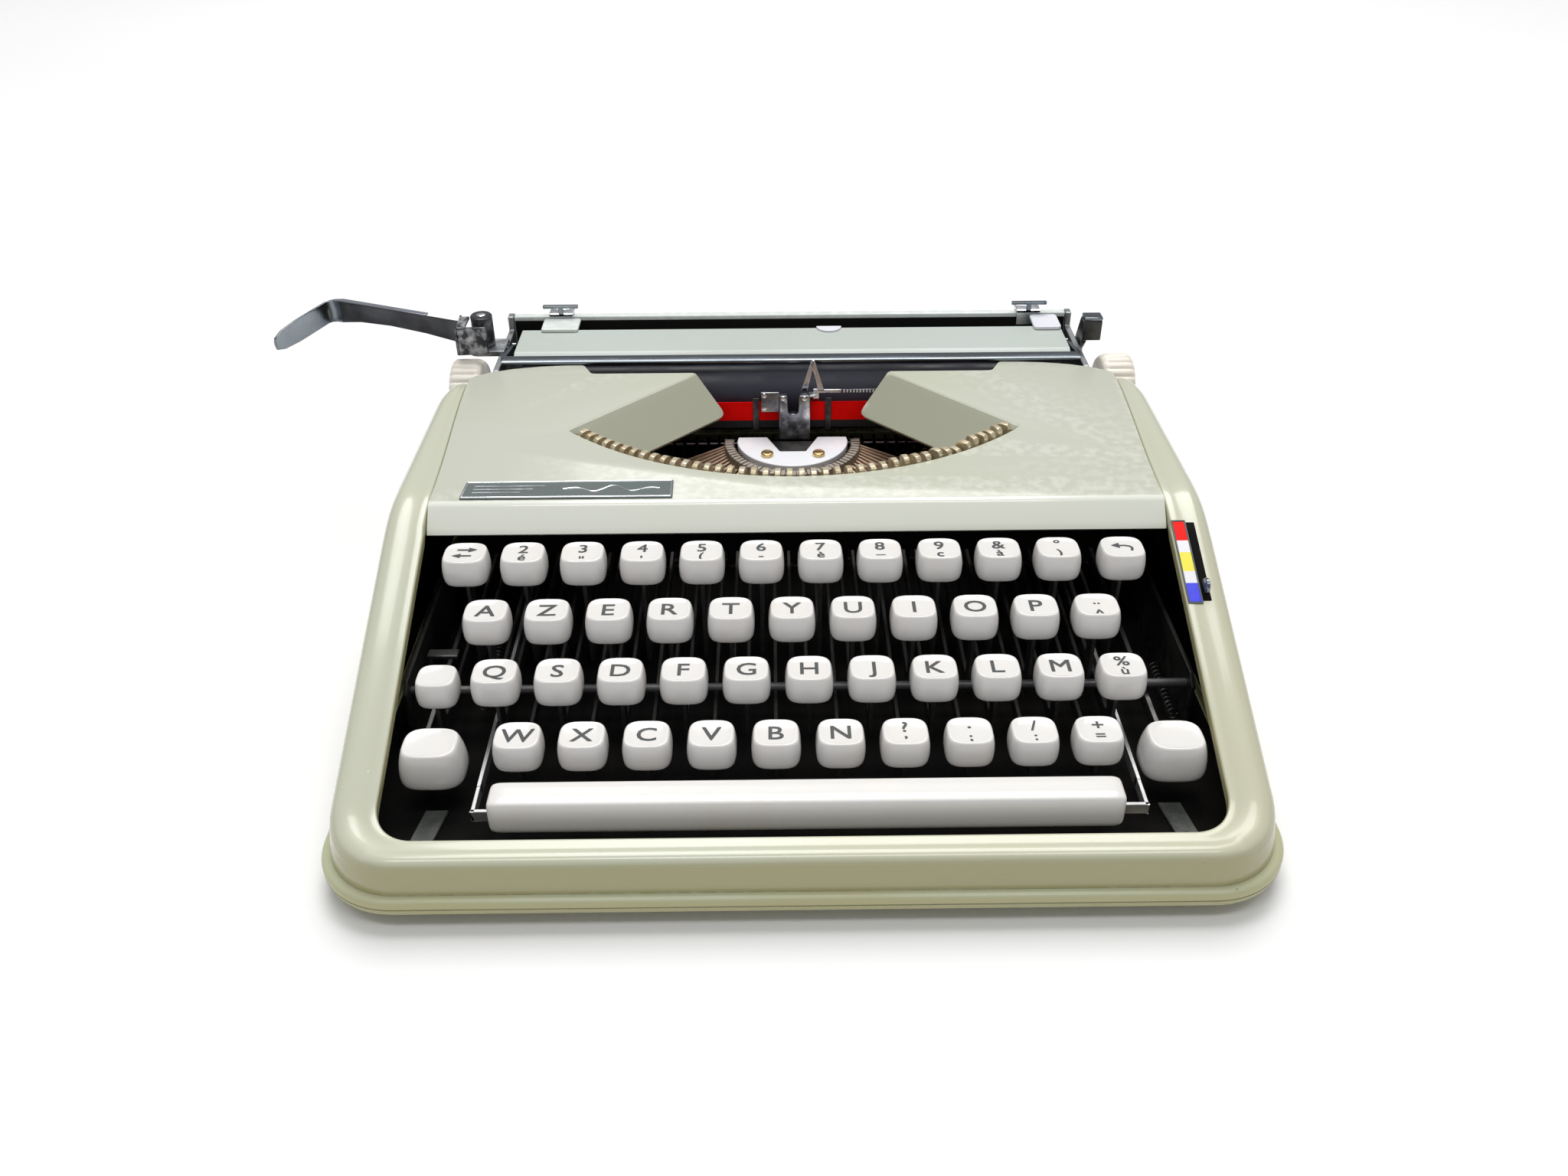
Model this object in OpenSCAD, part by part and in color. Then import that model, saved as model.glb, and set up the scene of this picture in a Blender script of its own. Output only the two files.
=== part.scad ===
// Portable typewriter with a flat moulded case. Millimetres, Z up, resting on Z = 0.
// The origin is the middle of the case on the resting plane; the keyboard faces -Y.

/* [Case] */
// Half width of the base rim
base_half_w = 139.5; // [130:0.5:150]
// Half depth of the base rim
base_half_d = 141; // [130:0.5:150]
// Corner radius of the base rim
base_r = 25; // [15:1:30]
// Height of the flat top above the table
top_z = 66; // [60:0.5:72]
// Wall thickness of the moulded shell
wall = 2.5; // [2:0.1:4]
// Half width of the keyboard well
well_half_w = 122.3; // [118:0.1:124]

/* [Keyboard] */
// Distance from one key to the next
pitch = 19; // [18:0.05:20]
// Width of a normal key cap
cap_w = 14.7; // [12:0.1:16]
// Depth of a normal key cap
cap_d = 13.4; // [11:0.1:15]
// Height of a normal key cap
cap_h = 9.5; // [6:0.1:11]
// Downward travel of a key cap
key_travel = 9; // [5:0.5:9]
// Distance from the fulcrum rod to the machine's middle
fulcrum_y = 110; // [105:0.5:112]
// Radius of the fulcrum rod
rod_r = 1.5; // [1:0.1:2]

/* [Carriage] */
// Distance of the platen's axis behind the middle
platen_y = 98; // [95:0.5:100]
// Height of the platen's axis
platen_z = 50; // [48:0.5:52]
// Radius of the rubber roller
platen_r = 13.3; // [12:0.1:13.5]
// Radius of the turning knobs
knob_r = 14; // [12:0.1:14]
// Radius of the platen's shaft
shaft_r = 3; // [2.5:0.1:4]

/* [Mounting] */
// Radius of the tie-down screw holes
hole_r = 2.2; // [1.8:0.1:3]
// Distance between the screws across the case
hole_dx = 220; // [180:1:230]
// Distance between the screws along the case
hole_dy = 200; // [160:1:210]

/* [Hidden] */
$fn = 48;
slip = 0.05;                 // radial clearance of a running fit
gap = 0.4;                   // clearance between other moving faces
floor_z = 7.5;               // top of the tray's floor
rim_z = 11;                  // top of the tray's rim
lever_z = 17.5;              // underside of the key levers at rest
lever_h = 4.5;
lever_t = 1.2;
fulcrum_z = 19.5;
low_z = 25;                  // height of the case behind the cover, under the carriage
rear_z = 39;                 // height of the middle of the back wall
cover_y = 81.5;              // rear edge of the ribbon cover
arc_y = 110.8;               // centre of the type opening's arc
arc_r = 112.8;
cover_t = 2.5;
slope = 0.41;                // rise of the case arms per mm of depth

// One row of character keys: [name letter, first x, y, top z, count]
rows = [
  ["number", -87.8, -39.2, 60.3, 10],
  ["upper", -97.3, -58.7, 51.5, 11],
  ["home", -92.4, -78.1, 42.8, 11],
  ["lower", -83.6, -97.5, 34.0, 10]
];
function key_name(r, i) = str(rows[r][0], "_key_", i + 1);
function key_x(r, i) = rows[r][1] + pitch * i;
// The last home key's lever is cranked sideways to pass the space bar's arm.
function lever_x(r, i) = key_x(r, i) - (r == 2 && i == 10 ? 1.3 : 0);

// Every slot of the lever comb: [x, width]
comb_slots = concat(
  [for (r = [0:3]) for (i = [0:rows[r][4] - 1]) [lever_x(r, i), 2]],
  [[-106.3, 2], [103.8, 2], [-111, 2], [-94.9, 2], [98.9, 2], [-115.2, 2.8], [110.5, 2.8]]
);

// ---- shared shapes ----

// A rounded rectangle about the origin
module rounded(hw, hd, r) {
  square([2 * (hw - r), 2 * hd], center = true);
  square([2 * hw, 2 * (hd - r)], center = true);
  for (sx = [-1, 1]) for (sy = [-1, 1]) translate([sx * (hw - r), sy * (hd - r)]) circle(r);
}

// A rounded slab standing on z0
module slab(hw, hd, r, z0, h) {
  translate([0, 0, z0]) linear_extrude(h) rounded(hw, hd, r);
}

// A box from its two corners
module box(a, b) {
  translate(a) cube([b[0] - a[0], b[1] - a[1], b[2] - a[2]]);
}

// A profile in (y, z) carried along x from x0 to x1
module along_x(x0, x1, points) {
  translate([x0, 0, 0]) rotate([90, 0, 90]) linear_extrude(x1 - x0) polygon(points);
}

// A round bar along x
module bar_x(x0, x1, y, z, r) {
  translate([x0, y, z]) rotate([0, 90, 0]) cylinder(r = r, h = x1 - x0);
}

// Holes for the tie-down screws
module tie_down_holes(z0, z1) {
  for (sx = [-1, 1]) for (sy = [-1, 1])
    translate([sx * hole_dx / 2, sy * hole_dy / 2, z0]) cylinder(r = hole_r, h = z1 - z0);
}

// ---- case ----

module base_tray() {
  color("darkseagreen") difference() {
    slab(base_half_w, base_half_d, base_r, 5.5, rim_z - 5.5);
    slab(base_half_w - 6, base_half_d - 6, base_r - 6, floor_z, rim_z);
    tie_down_holes(5, 8);
  }
  // rubber feet, each with its own screw hole
  color("dimgray") difference() {
    for (sx = [-1, 1]) for (sy = [-1, 1])
      translate([sx * hole_dx / 2, sy * hole_dy / 2, 0]) cylinder(r = 9, h = 5.5);
    tie_down_holes(-1, 6);
  }
  // felt pads in the front corners of the well
  color("wheat") for (x = [-113, 98]) box([x - 5, -116, floor_z], [x + 5, -108, 11]);
}

// Side profile of the case, moved inward by d
function case_profile(d) = [
  [-138.5 + d, rim_z - (d > 0 ? 1 : 0)], [-138.5 + d, 18 - d / 2], [-134 + d / 2, 22.3 - d],
  [-124, 22.3 - d], [-26, 62.5 - d], [-16, top_z - d], [cover_y - 3 - d, top_z - d],
  [cover_y - d, top_z - 4 - d], [cover_y - d, rear_z - d], [138.5 - d, rear_z - d],
  [138.5 - d, rim_z - (d > 0 ? 1 : 0)]
];

module body_shell() {
  color("darkkhaki") difference() {
    intersection() {
      slab(136.8, 138.5, 23, rim_z, 60);
      along_x(-140, 140, case_profile(0));
    }
    intersection() {
      slab(136.8 - wall, 138.5 - wall, 23 - wall, rim_z - 1, 60);
      along_x(-140, 140, case_profile(wall));
    }
    // keyboard well
    translate([0, 0, 15]) linear_extrude(60) {
      translate([0, -66]) square([2 * well_half_w, 100], center = true);
      translate([0, -122]) square([2 * (well_half_w - 12), 12], center = true);
      for (s = [-1, 1]) translate([s * (well_half_w - 12), -116]) circle(12);
    }
    // place of the ribbon cover
    box([-123.4, -24, 40], [123.4, cover_y + 1, 80]);
    // way of the carriage
    box([-150, cover_y - 1, low_z], [150, 135.9, 80]);
    for (s = [-1, 1]) translate([s * 131, 110, low_z + 30]) cube([36, 70, 60], center = true);
    // slot of the colour selector
    box([126.6, -55.5, 40], [129.4, -28, 70]);
  }
  // ledges that carry the ribbon cover
  color("darkkhaki") for (s = [-1, 1])
    box([s > 0 ? 122 : -134.3, -14, top_z - 5.5], [s > 0 ? 134.3 : -122, cover_y - 6, top_z - 4]);
}

// Outline of the flat ribbon cover
module cover_outline() {
  difference() {
    union() {
      polygon([[-122.2, -18], [122.2, -18], [123, 76], [116, 84], [83, 87.5], [78, cover_y],
               [-78, cover_y], [-83, 87.5], [-116, 84], [-123, 76]]);
    }
    intersection() {
      translate([0, arc_y]) circle(arc_r, $fn = 96);
      polygon([[-83.5, 33], [-38, cover_y + 1], [38, cover_y + 1], [83.5, 33], [60, -10], [-60, -10]]);
    }
  }
}

// A sloping guard below one straight edge of the opening
module guard() {
  translate([-82.4, 34.2, top_z - cover_t]) rotate([0, 0, 46.1]) rotate([41, 0, 0])
    translate([0, 0, -1.6]) linear_extrude(1.4) polygon([[10, -2], [61, -2], [60.5, -20], [27, -18.5]]);
}

module ribbon_cover() {
  color("gainsboro") translate([0, 0, top_z - cover_t]) linear_extrude(cover_t) cover_outline();
  // bevelled front lip
  color("gainsboro") along_x(-121.8, 121.8,
    [[-18, top_z], [-18, top_z - cover_t], [-22.5, 58], [-25, 58], [-24.6, 60.5], [-19.6, 65.6]]);
  color("silver") { guard(); mirror([1, 0, 0]) guard(); }
  // support blocks on the case ledges
  color("gainsboro") for (s = [-1, 1]) translate([s * 122.7, 30, top_z - cover_t - 0.75])
    cube([1.4, 60, 1.5], center = true);
  // plain badge plate
  color("dimgray") translate([0, 0, top_z]) linear_extrude(0.8)
    polygon([[-111.6, -16], [-41.2, -16], [-41.2, -4.8], [-111.1, -4.8]]);
}

// ---- chassis ----

module chassis() {
  // side plates
  color("gray") for (x = [-124.6, 123.2]) difference() {
    along_x(x, x + 1.4, [[-70, floor_z], [130.5, floor_z], [130.5, 24.6], [20, 30], [-66, 30], [-70, 27]]);
    bar_x(x - 1, x + 3, fulcrum_y, fulcrum_z, rod_r + slip);
    bar_x(x - 1, x + 3, -64.5, 24.6, 1.5 + slip);
  }
  // fulcrum rod and key stop bar
  color("silver") bar_x(-124.6, 124.6, fulcrum_y, fulcrum_z, rod_r);
  color("silver") bar_x(-124.6, 124.6, -64.5, 24.6, 1.5);
  // comb that guides the levers
  color("gray") difference() {
    box([-122.8, 30, floor_z], [122.8, 32, 26]);
    for (s = comb_slots) box([s[0] - s[1] / 2, 29, 11], [s[0] + s[1] / 2, 33, 27]);
  }
  // carriage rails on their end feet
  color("silver") for (y = [112.5, 126.5]) {
    box([-122.8, y, 24.6], [122.8, y + 4, 30]);
    for (x = [-122.8, 119]) box([x, y + 2, floor_z], [x + 3.8, y + 4, 24.6]);
  }
  // mainspring drum and bell on posts
  color("gray") translate([-70, 102, floor_z]) cylinder(r = 3, h = 5);
  color("gold") translate([60, 125, floor_z]) difference() {
    cylinder(r = 7, h = 7);
    translate([0, 0, -1]) cylinder(r = 6, h = 6.5);
  }
}

// ---- printing mechanism ----

bar_count = 42;
bar_spread = 44;             // the outermost slug's angle on the arc

// Flat bar between two points
module strut(p, q) {
  d = q - p;
  flat = norm([d[0], d[1]]);
  translate(p) rotate([0, -atan2(d[2], flat), atan2(d[1], d[0])]) translate([0, -0.45, -1.5])
    cube([norm(d), 0.9, 3]);
}

// A bar leaves the segment straight out and dips, then rises to its slug on the arc.
module type_bar(i) {
  psi = bar_spread * (2 * i / (bar_count - 1) - 1);
  phi = 76 * (2 * i / (bar_count - 1) - 1);
  knee = [43 * sin(phi), 78 - 43 * cos(phi), 33.5];
  tip = [109 * sin(psi), arc_y - 109 * cos(psi), 60];
  strut([25 * sin(phi), 78 - 25 * cos(phi), 38], knee);
  strut(knee, tip);
  translate([tip[0], tip[1], 63.6]) rotate([0, 0, psi]) translate([-1.35, -2.6, -3.7]) cube([2.7, 5.2, 6.7]);
}

module spool(x) {
  translate([x, 44, 46]) {
    cylinder(r = 17, h = 1);
    translate([0, 0, 1]) cylinder(r = 14, h = 12);
    translate([0, 0, 13]) cylinder(r = 17, h = 1);
  }
  translate([x, 44, 26]) cylinder(r = 2, h = 20);
  translate([x - 12, 38, 24]) cube([24, 12, 2]);
}

module type_mechanism() {
  // segment with its two screws
  color("gainsboro") translate([0, 0, 39]) linear_extrude(3) difference() {
    intersection() { translate([0, 70.6]) circle(22); translate([-21.5, 46]) square([43, 26.2]); }
    polygon([[-10, 73], [-5, 60.7], [5, 60.7], [10, 73]]);
  }
  color("gray") box([-22, 58, 23.5], [22, 74, 38.6]);
  color("goldenrod") for (s = [-1, 1]) translate([s * 10, 57.6, 42]) cylinder(r = 2.4, h = 1.4);
  // type bars with their slugs
  color("peru") for (i = [0:bar_count - 1]) type_bar(i);
  // type rest
  color("dimgray") translate([0, 0, 57]) linear_extrude(3) difference() {
    intersection() {
      translate([0, arc_y]) circle(arc_r + 0.4, $fn = 96);
      polygon([[-84, 28], [84, 28], [60, -10], [-60, -10]]);
    }
    translate([0, arc_y]) circle(arc_r - 2.6, $fn = 96);
  }
  // guide column with its open fork
  color("silver") {
    difference() {
      box([-5.2, 75, 38], [7.2, 78, 58.6]);
      box([-1.7, 74, 50.6], [2.5, 79, 60]);
    }
    box([-12.4, 76.2, 51], [-5, 77.4, 59.6]);
  }
  // card holder with its line scale, on a post beside the fork
  color("gainsboro") translate([0, 81.2, 0]) rotate([90, 0, 0]) linear_extrude(0.8) {
    difference() {
      polygon([[3.4, 58], [7.6, 71], [8.8, 71], [13, 58]]);
      polygon([[6, 57], [8.2, 65.5], [10.4, 57]]);
    }
    translate([8.4, 42]) square([2.4, 17]);
    translate([10, 57.2]) square([26, 1.5]);
  }
  color("silver") box([6.5, 77.5, 56.6], [9.5, 80.8, 57.8]);
  // ribbon between the spools
  color("crimson") {
    box([-76, 79, 43], [76, 79.2, 56]);
    for (s = [-1, 1]) translate([s * 76, 79.1, 43]) rotate([0, 0, s > 0 ? -60.5 : -119.5])
      translate([0.2, -0.1, 0]) cube([24, 0.2, 13]);
  }
  color("black") { spool(-99); spool(99); }
}

// ---- colour selector ----

module colour_selector() {
  // flat finger through the slot with its round end, moving along the arm
  color("silver") bar_x(127.3, 128.7, -52.4, 53.6, 2.6);
  color("silver") box([127.3, -53.4, 43.4], [128.7, -51.4, 52]);
  color("gray") box([126.8, -60, 41.6], [129.2, -45, 43.6]);
}

// ---- carriage ----

plate_in = 116.8;            // inner face of the carriage's end plates
plate_t = 2.5;

module carriage_frame() {
  color("silver") for (s = [-1, 1]) difference() {
    along_x(s > 0 ? plate_in : -plate_in - plate_t, s > 0 ? plate_in + plate_t : -plate_in,
      [[86, 42], [86, 58], [90, 63.6], [130.5, 63.6], [130.5, 69.5], [135.2, 69.5], [135.2, 30.4],
       [108, 30.4], [100, 34.5], [92, 36]]);
    bar_x(s * (plate_in - 2) - (s > 0 ? 0 : 8), s * (plate_in - 2) + (s > 0 ? 8 : 0),
          platen_y, platen_z, shaft_r + slip);
    bar_x(s * (plate_in - 2) - (s > 0 ? 0 : 8), s * (plate_in - 2) + (s > 0 ? 8 : 0),
          119, 60, 1.5 + slip);
  }
  // bearing bar that rides on the rails, with its tongue between them
  color("gray") box([-plate_in - 1, 111, 30.6], [plate_in + 1, 134, 33.5]);
  color("gray") box([-plate_in + 1, 117, 26], [plate_in - 1, 126, 32]);
  // rear rail and the cross wall below it
  color("gainsboro") box([-plate_in - 1, 131.2, 66], [plate_in + 1, 135, 69.3]);
  color("gainsboro") box([-plate_in - 1, 132, 32], [plate_in + 1, 133.5, 67]);
  // paper table
  color("lightslategray") along_x(-111.5, 112.5,
    [[96, 65.6], [96, 67], [98, 68], [120, 68], [122.5, 66.6], [123.5, 48], [122, 48], [120.8, 65.6]]);
  color("gray") box([-110, 122.6, 50], [111, 132.5, 51.4]);
  // bracket and stud of the return lever
  color("silver") box([-132, 105, 63], [-plate_in - 1, 118, 65.4]);
  color("silver") translate([-126, 112, 64]) cylinder(r = 2, h = 14.5);
  // stud of the release lever
  color("silver") bar_x(plate_in + plate_t, plate_in + plate_t + 4.2, 122, 56, 2);
}

module platen() {
  color("midnightblue") difference() {
    bar_x(-109, 109, platen_y, platen_z, platen_r);
    bar_x(-110, 110, platen_y, platen_z, shaft_r);
  }
  color("silver") bar_x(-138, 139, platen_y, platen_z, shaft_r);
  color("ivory") for (x = [-137.5, 125.6]) difference() {
    bar_x(x, x + 12.9, platen_y, platen_z, knob_r);
    bar_x(x - 1, x + 14, platen_y, platen_z, shaft_r);
    // finger flutes
    for (a = [0:30:330]) translate([x - 1, platen_y, platen_z]) rotate([a, 0, 0])
      translate([0, 0, knob_r + 0.6]) rotate([0, 90, 0]) cylinder(r = 1.4, h = 15, $fn = 24);
  }
}

module return_lever() {
  color("silver") difference() {
    union() {
      translate([-126, 112, 65.8]) cylinder(r = 4.5, h = 12.7);
      box([-134.5, 99.5, 76.5], [-122, 112, 78]);
      box([-134.5, 99.5, 66.2], [-122, 101, 78]);
      box([-134.5, 99.5, 66.2], [-133, 112, 78]);
    }
    translate([-126, 112, 60]) cylinder(r = 2 + slip, h = 30);
  }
  // arm, elbow and paddle
  color("silver") translate([0, 0, 67.5]) linear_extrude(9.5)
    polygon([[-134.6, 108], [-134.6, 110], [-191, 133.5], [-195, 132.5], [-207, 96.5], [-205.6, 95.8],
             [-193.6, 130.6], [-190.6, 131.7]]);
}

module paper_bail() {
  x0 = -115.6;
  x1 = 115.6;
  color("gainsboro") along_x(x0, x1, [[89.5, 66.2], [89.5, 67.4], [94.6, 68], [94.6, 66.8]]);
  color("silver") for (x = [x0 - 0.8, x1 - 1.2]) difference() {
    union() {
      along_x(x, x + 2, [[92, 66.8], [96, 67.4], [119, 62.5], [119, 57.5], [116, 58]]);
      bar_x(x, x + 2, 119, 60, 3);
    }
    bar_x(x - 1, x + 3, 119, 60, 1.2);
  }
  color("silver") bar_x(x0 - 0.8, x0 - 0.8 + 2, 119, 60, 1.2);
  for (s = [-1, 1]) color("silver")
    bar_x(s > 0 ? x1 - 1.2 : x0 - 3.6, s > 0 ? x1 + 3.6 : x0 + 1.2, 119, 60, 1.5);
}

module carriage_release() {
  x = plate_in + plate_t + 0.5;
  color("black") difference() {
    union() {
      bar_x(x, x + 2.2, 122, 56, 4);
      along_x(x, x + 2.2, [[118.5, 56], [125.5, 56], [116, 74], [110, 74], [110, 65]]);
      along_x(x, x + 7.6, [[109, 66], [109, 74.5], [111, 74.5], [111, 66]]);
    }
    bar_x(x - 1, x + 4, 122, 56, 2 + slip);
  }
  color("silver") along_x(x, x + 7.6, [[109, 74.5], [109, 76], [115, 76], [115, 74.5]]);
}

// Margin stop that slides on the rear rail
module margin_stop(x) {
  color("silver") difference() {
    box([x - 5, 129.6, 64.4], [x + 5, 136.8, 71]);
    box([x - 6, 131.2 - 0.1, 65.9], [x + 6, 135.2 + 0.1, 69.6]);
    box([x - 6, 131.5, 60], [x + 6, 134, 67]);
  }
  color("gainsboro") box([x - 1, 129.6, 71], [x + 1, 131, 73.4]);
  color("gainsboro") box([x - 7.5, 129.4, 73.4], [x + 7.5, 131.6, 74.6]);
}
module left_margin_stop() { margin_stop(-96.5); }
module right_margin_stop() { margin_stop(100.8); }

// ---- keys ----

// Straight lever from y0 back to the fulcrum, with its bored boss
module lever(x, y0, t = lever_t) {
  difference() {
    union() {
      box([x - t / 2, y0, lever_z], [x + t / 2, fulcrum_y, lever_z + lever_h]);
      bar_x(x - t / 2, x + t / 2, fulcrum_y, fulcrum_z, 3.4);
    }
    bar_x(x - t, x + t, fulcrum_y, fulcrum_z, rod_r + slip);
  }
}

// Cap with rounded corners, standing under z_top
module cap(x, y, z_top, w = cap_w, d = cap_d, h = cap_h) {
  translate([x, y, z_top - h]) linear_extrude(h) rounded(w / 2, d / 2, 4);
}

module key(x, y, z_top, xl) {
  color("white") cap(x, y, z_top);
  color("gray") box([xl - lever_t / 2, y - 3, lever_z + 1], [xl + lever_t / 2, y + 3, z_top - cap_h + 2]);
  color("gray") lever(xl, y - 3);
}

module margin_release_key() { key(-106.3, -39.2, 60.3, -106.3); }
module backspace_key() { key(103.8, -39.2, 60.3, 103.8); }

module shift_lock_key() {
  color("white") cap(-110.4, -77.5, 40.8, 12.8, 12, 9);
  color("gray") box([-111.6, -80, 19], [-110.4, -75, 34]);
  color("gray") lever(-111, -80);
}

// Both shift keys share one rocking frame.
module shift_keys() {
  for (s = [-1, 1]) {
    x = s > 0 ? 110.5 : -109.5;
    xl = s > 0 ? 110.5 : -115.2;
    color("white") cap(x, -97.5, 31.5, 20.4, 17, 12.5);
    color("gray") box([xl - 0.8, -100, 17.5], [xl + 0.8, -92, 24]);
    color("gray") lever(xl, -100, 1.6);
    color("gray") box([xl - 0.8, 93, 9.4], [xl + 0.8, 98, 18]);
  }
  color("gray") box([-116, 94, 9], [111.3, 97, 11]);
}

module space_bar() {
  color("white") translate([0.9, -116.5, 17]) linear_extrude(12) rounded(90.6, 5.4, 4);
  color("silver") {
    box([-95.5, -116, 18], [-89, -113, 20]);
    box([92, -116, 18], [99.5, -113, 20]);
    box([-95.5, -116, 18], [-94.3, -108, 21.5]);
    box([98.3, -116, 18], [99.5, -108, 21.5]);
    lever(-94.9, -110);
    lever(98.9, -110);
  }
}

// ---- what is drawn ----

base_tray();
body_shell();
ribbon_cover();
chassis();
type_mechanism();
colour_selector();
carriage_frame();
platen();
return_lever();
paper_bail();
carriage_release();
left_margin_stop();
right_margin_stop();
for (r = [0:3]) for (i = [0:rows[r][4] - 1])
  key(key_x(r, i), rows[r][2], rows[r][3], lever_x(r, i));
margin_release_key();
backspace_key();
shift_lock_key();
shift_keys();
space_bar();
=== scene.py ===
import math
import random

import bmesh
import bpy
from mathutils import Matrix, Vector


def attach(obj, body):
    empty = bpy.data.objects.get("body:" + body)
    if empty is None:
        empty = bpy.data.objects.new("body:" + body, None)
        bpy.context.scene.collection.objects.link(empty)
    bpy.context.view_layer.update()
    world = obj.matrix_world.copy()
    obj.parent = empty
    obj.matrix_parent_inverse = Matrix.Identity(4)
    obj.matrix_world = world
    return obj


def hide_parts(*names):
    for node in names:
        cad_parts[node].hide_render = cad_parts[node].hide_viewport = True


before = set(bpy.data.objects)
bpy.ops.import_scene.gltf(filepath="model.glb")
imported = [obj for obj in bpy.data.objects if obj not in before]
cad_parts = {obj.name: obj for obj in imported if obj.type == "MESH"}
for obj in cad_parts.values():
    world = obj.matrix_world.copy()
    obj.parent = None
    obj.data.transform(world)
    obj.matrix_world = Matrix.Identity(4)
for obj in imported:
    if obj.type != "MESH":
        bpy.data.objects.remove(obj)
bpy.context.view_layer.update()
print("stage: frame loaded")

# Shapes and the camera's place are in millimetres and scaled when they are made.
# Finishes, lights and the floor are in metres.
mm = 0.001
scene = bpy.context.scene

# camera

cameraSettings = {
    "place": (-7.5, -389.3, 283.9),
    "pitch": 34.264,
    "yaw": 0.480,
    "roll": -0.3026,
    "lens": 29.88,
}


def addCamera(s):
    pitch, yaw, roll = (math.radians(s[k]) for k in ("pitch", "yaw", "roll"))
    forward = Vector((
        math.sin(yaw) * math.cos(pitch), math.cos(yaw) * math.cos(pitch), -math.sin(pitch)))
    right = Vector((math.cos(yaw), -math.sin(yaw), 0))
    up = right.cross(forward)
    rightRolled = math.cos(roll) * right + math.sin(roll) * up
    upRolled = -math.sin(roll) * right + math.cos(roll) * up
    data = bpy.data.cameras.new("viewCamera")
    data.sensor_width = 36
    data.lens = s["lens"]
    data.clip_end = 50
    cameraObject = bpy.data.objects.new("viewCamera", data)
    scene.collection.objects.link(cameraObject)
    turn = Matrix((rightRolled, upRolled, -forward)).transposed()
    cameraObject.matrix_world = Matrix.Translation(Vector(s["place"]) * mm) @ turn.to_4x4()
    scene.camera = cameraObject


addCamera(cameraSettings)

# shader node groups


def newGroup(name, inputs, outputs):
    group = bpy.data.node_groups.new(name, "ShaderNodeTree")
    for label, kind, value in inputs:
        socket = group.interface.new_socket(name=label, in_out="INPUT", socket_type=kind)
        if value is not None:
            socket.default_value = value
    for label, kind in outputs:
        group.interface.new_socket(name=label, in_out="OUTPUT", socket_type=kind)
    return group, group.nodes.new("NodeGroupInput"), group.nodes.new("NodeGroupOutput")


def addNode(tree, kind, **values):
    node = tree.nodes.new(kind)
    for key, value in values.items():
        setattr(node, key, value)
    return node


def mathNode(tree, operation, a, b=None, clamp=False):
    node = addNode(tree, "ShaderNodeMath", operation=operation, use_clamp=clamp)
    for index, value in enumerate((a, b)):
        if value is None:
            continue
        if isinstance(value, (int, float)):
            node.inputs[index].default_value = value
        else:
            tree.links.new(value, node.inputs[index])
    return node.outputs[0]


def mixColor(tree, factor, a, b):
    node = addNode(tree, "ShaderNodeMix", data_type="RGBA", blend_type="MIX")
    for socket, value in ((node.inputs[0], factor), (node.inputs[6], a), (node.inputs[7], b)):
        if isinstance(value, (int, float)):
            socket.default_value = value
        elif isinstance(value, tuple):
            socket.default_value = (*value, 1)
        else:
            tree.links.new(value, socket)
    return node.outputs[2]


def ramp(tree, source, low, high):
    node = addNode(tree, "ShaderNodeMapRange", clamp=True)
    node.inputs[1].default_value = low
    node.inputs[2].default_value = high
    tree.links.new(source, node.inputs[0])
    return node.outputs[0]


def makeMottleGroup():
    # slow drift of tone over a moulding, as plastic and paint get with age
    group, gIn, gOut = newGroup(
        "ageMottle",
        [
            ("Scale", "NodeSocketFloat", 20.0), ("Low", "NodeSocketFloat", 0.4),
            ("High", "NodeSocketFloat", 0.65),
        ],
        [("Mask", "NodeSocketFloat")],
    )
    coords = addNode(group, "ShaderNodeTexCoord")
    noise = addNode(group, "ShaderNodeTexNoise")
    noise.inputs["Detail"].default_value = 4
    group.links.new(coords.outputs["Object"], noise.inputs["Vector"])
    group.links.new(gIn.outputs["Scale"], noise.inputs["Scale"])
    spread = addNode(group, "ShaderNodeMapRange", clamp=True)
    group.links.new(noise.outputs[0], spread.inputs[0])
    group.links.new(gIn.outputs["Low"], spread.inputs[1])
    group.links.new(gIn.outputs["High"], spread.inputs[2])
    group.links.new(spread.outputs[0], gOut.inputs["Mask"])
    return group


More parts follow.
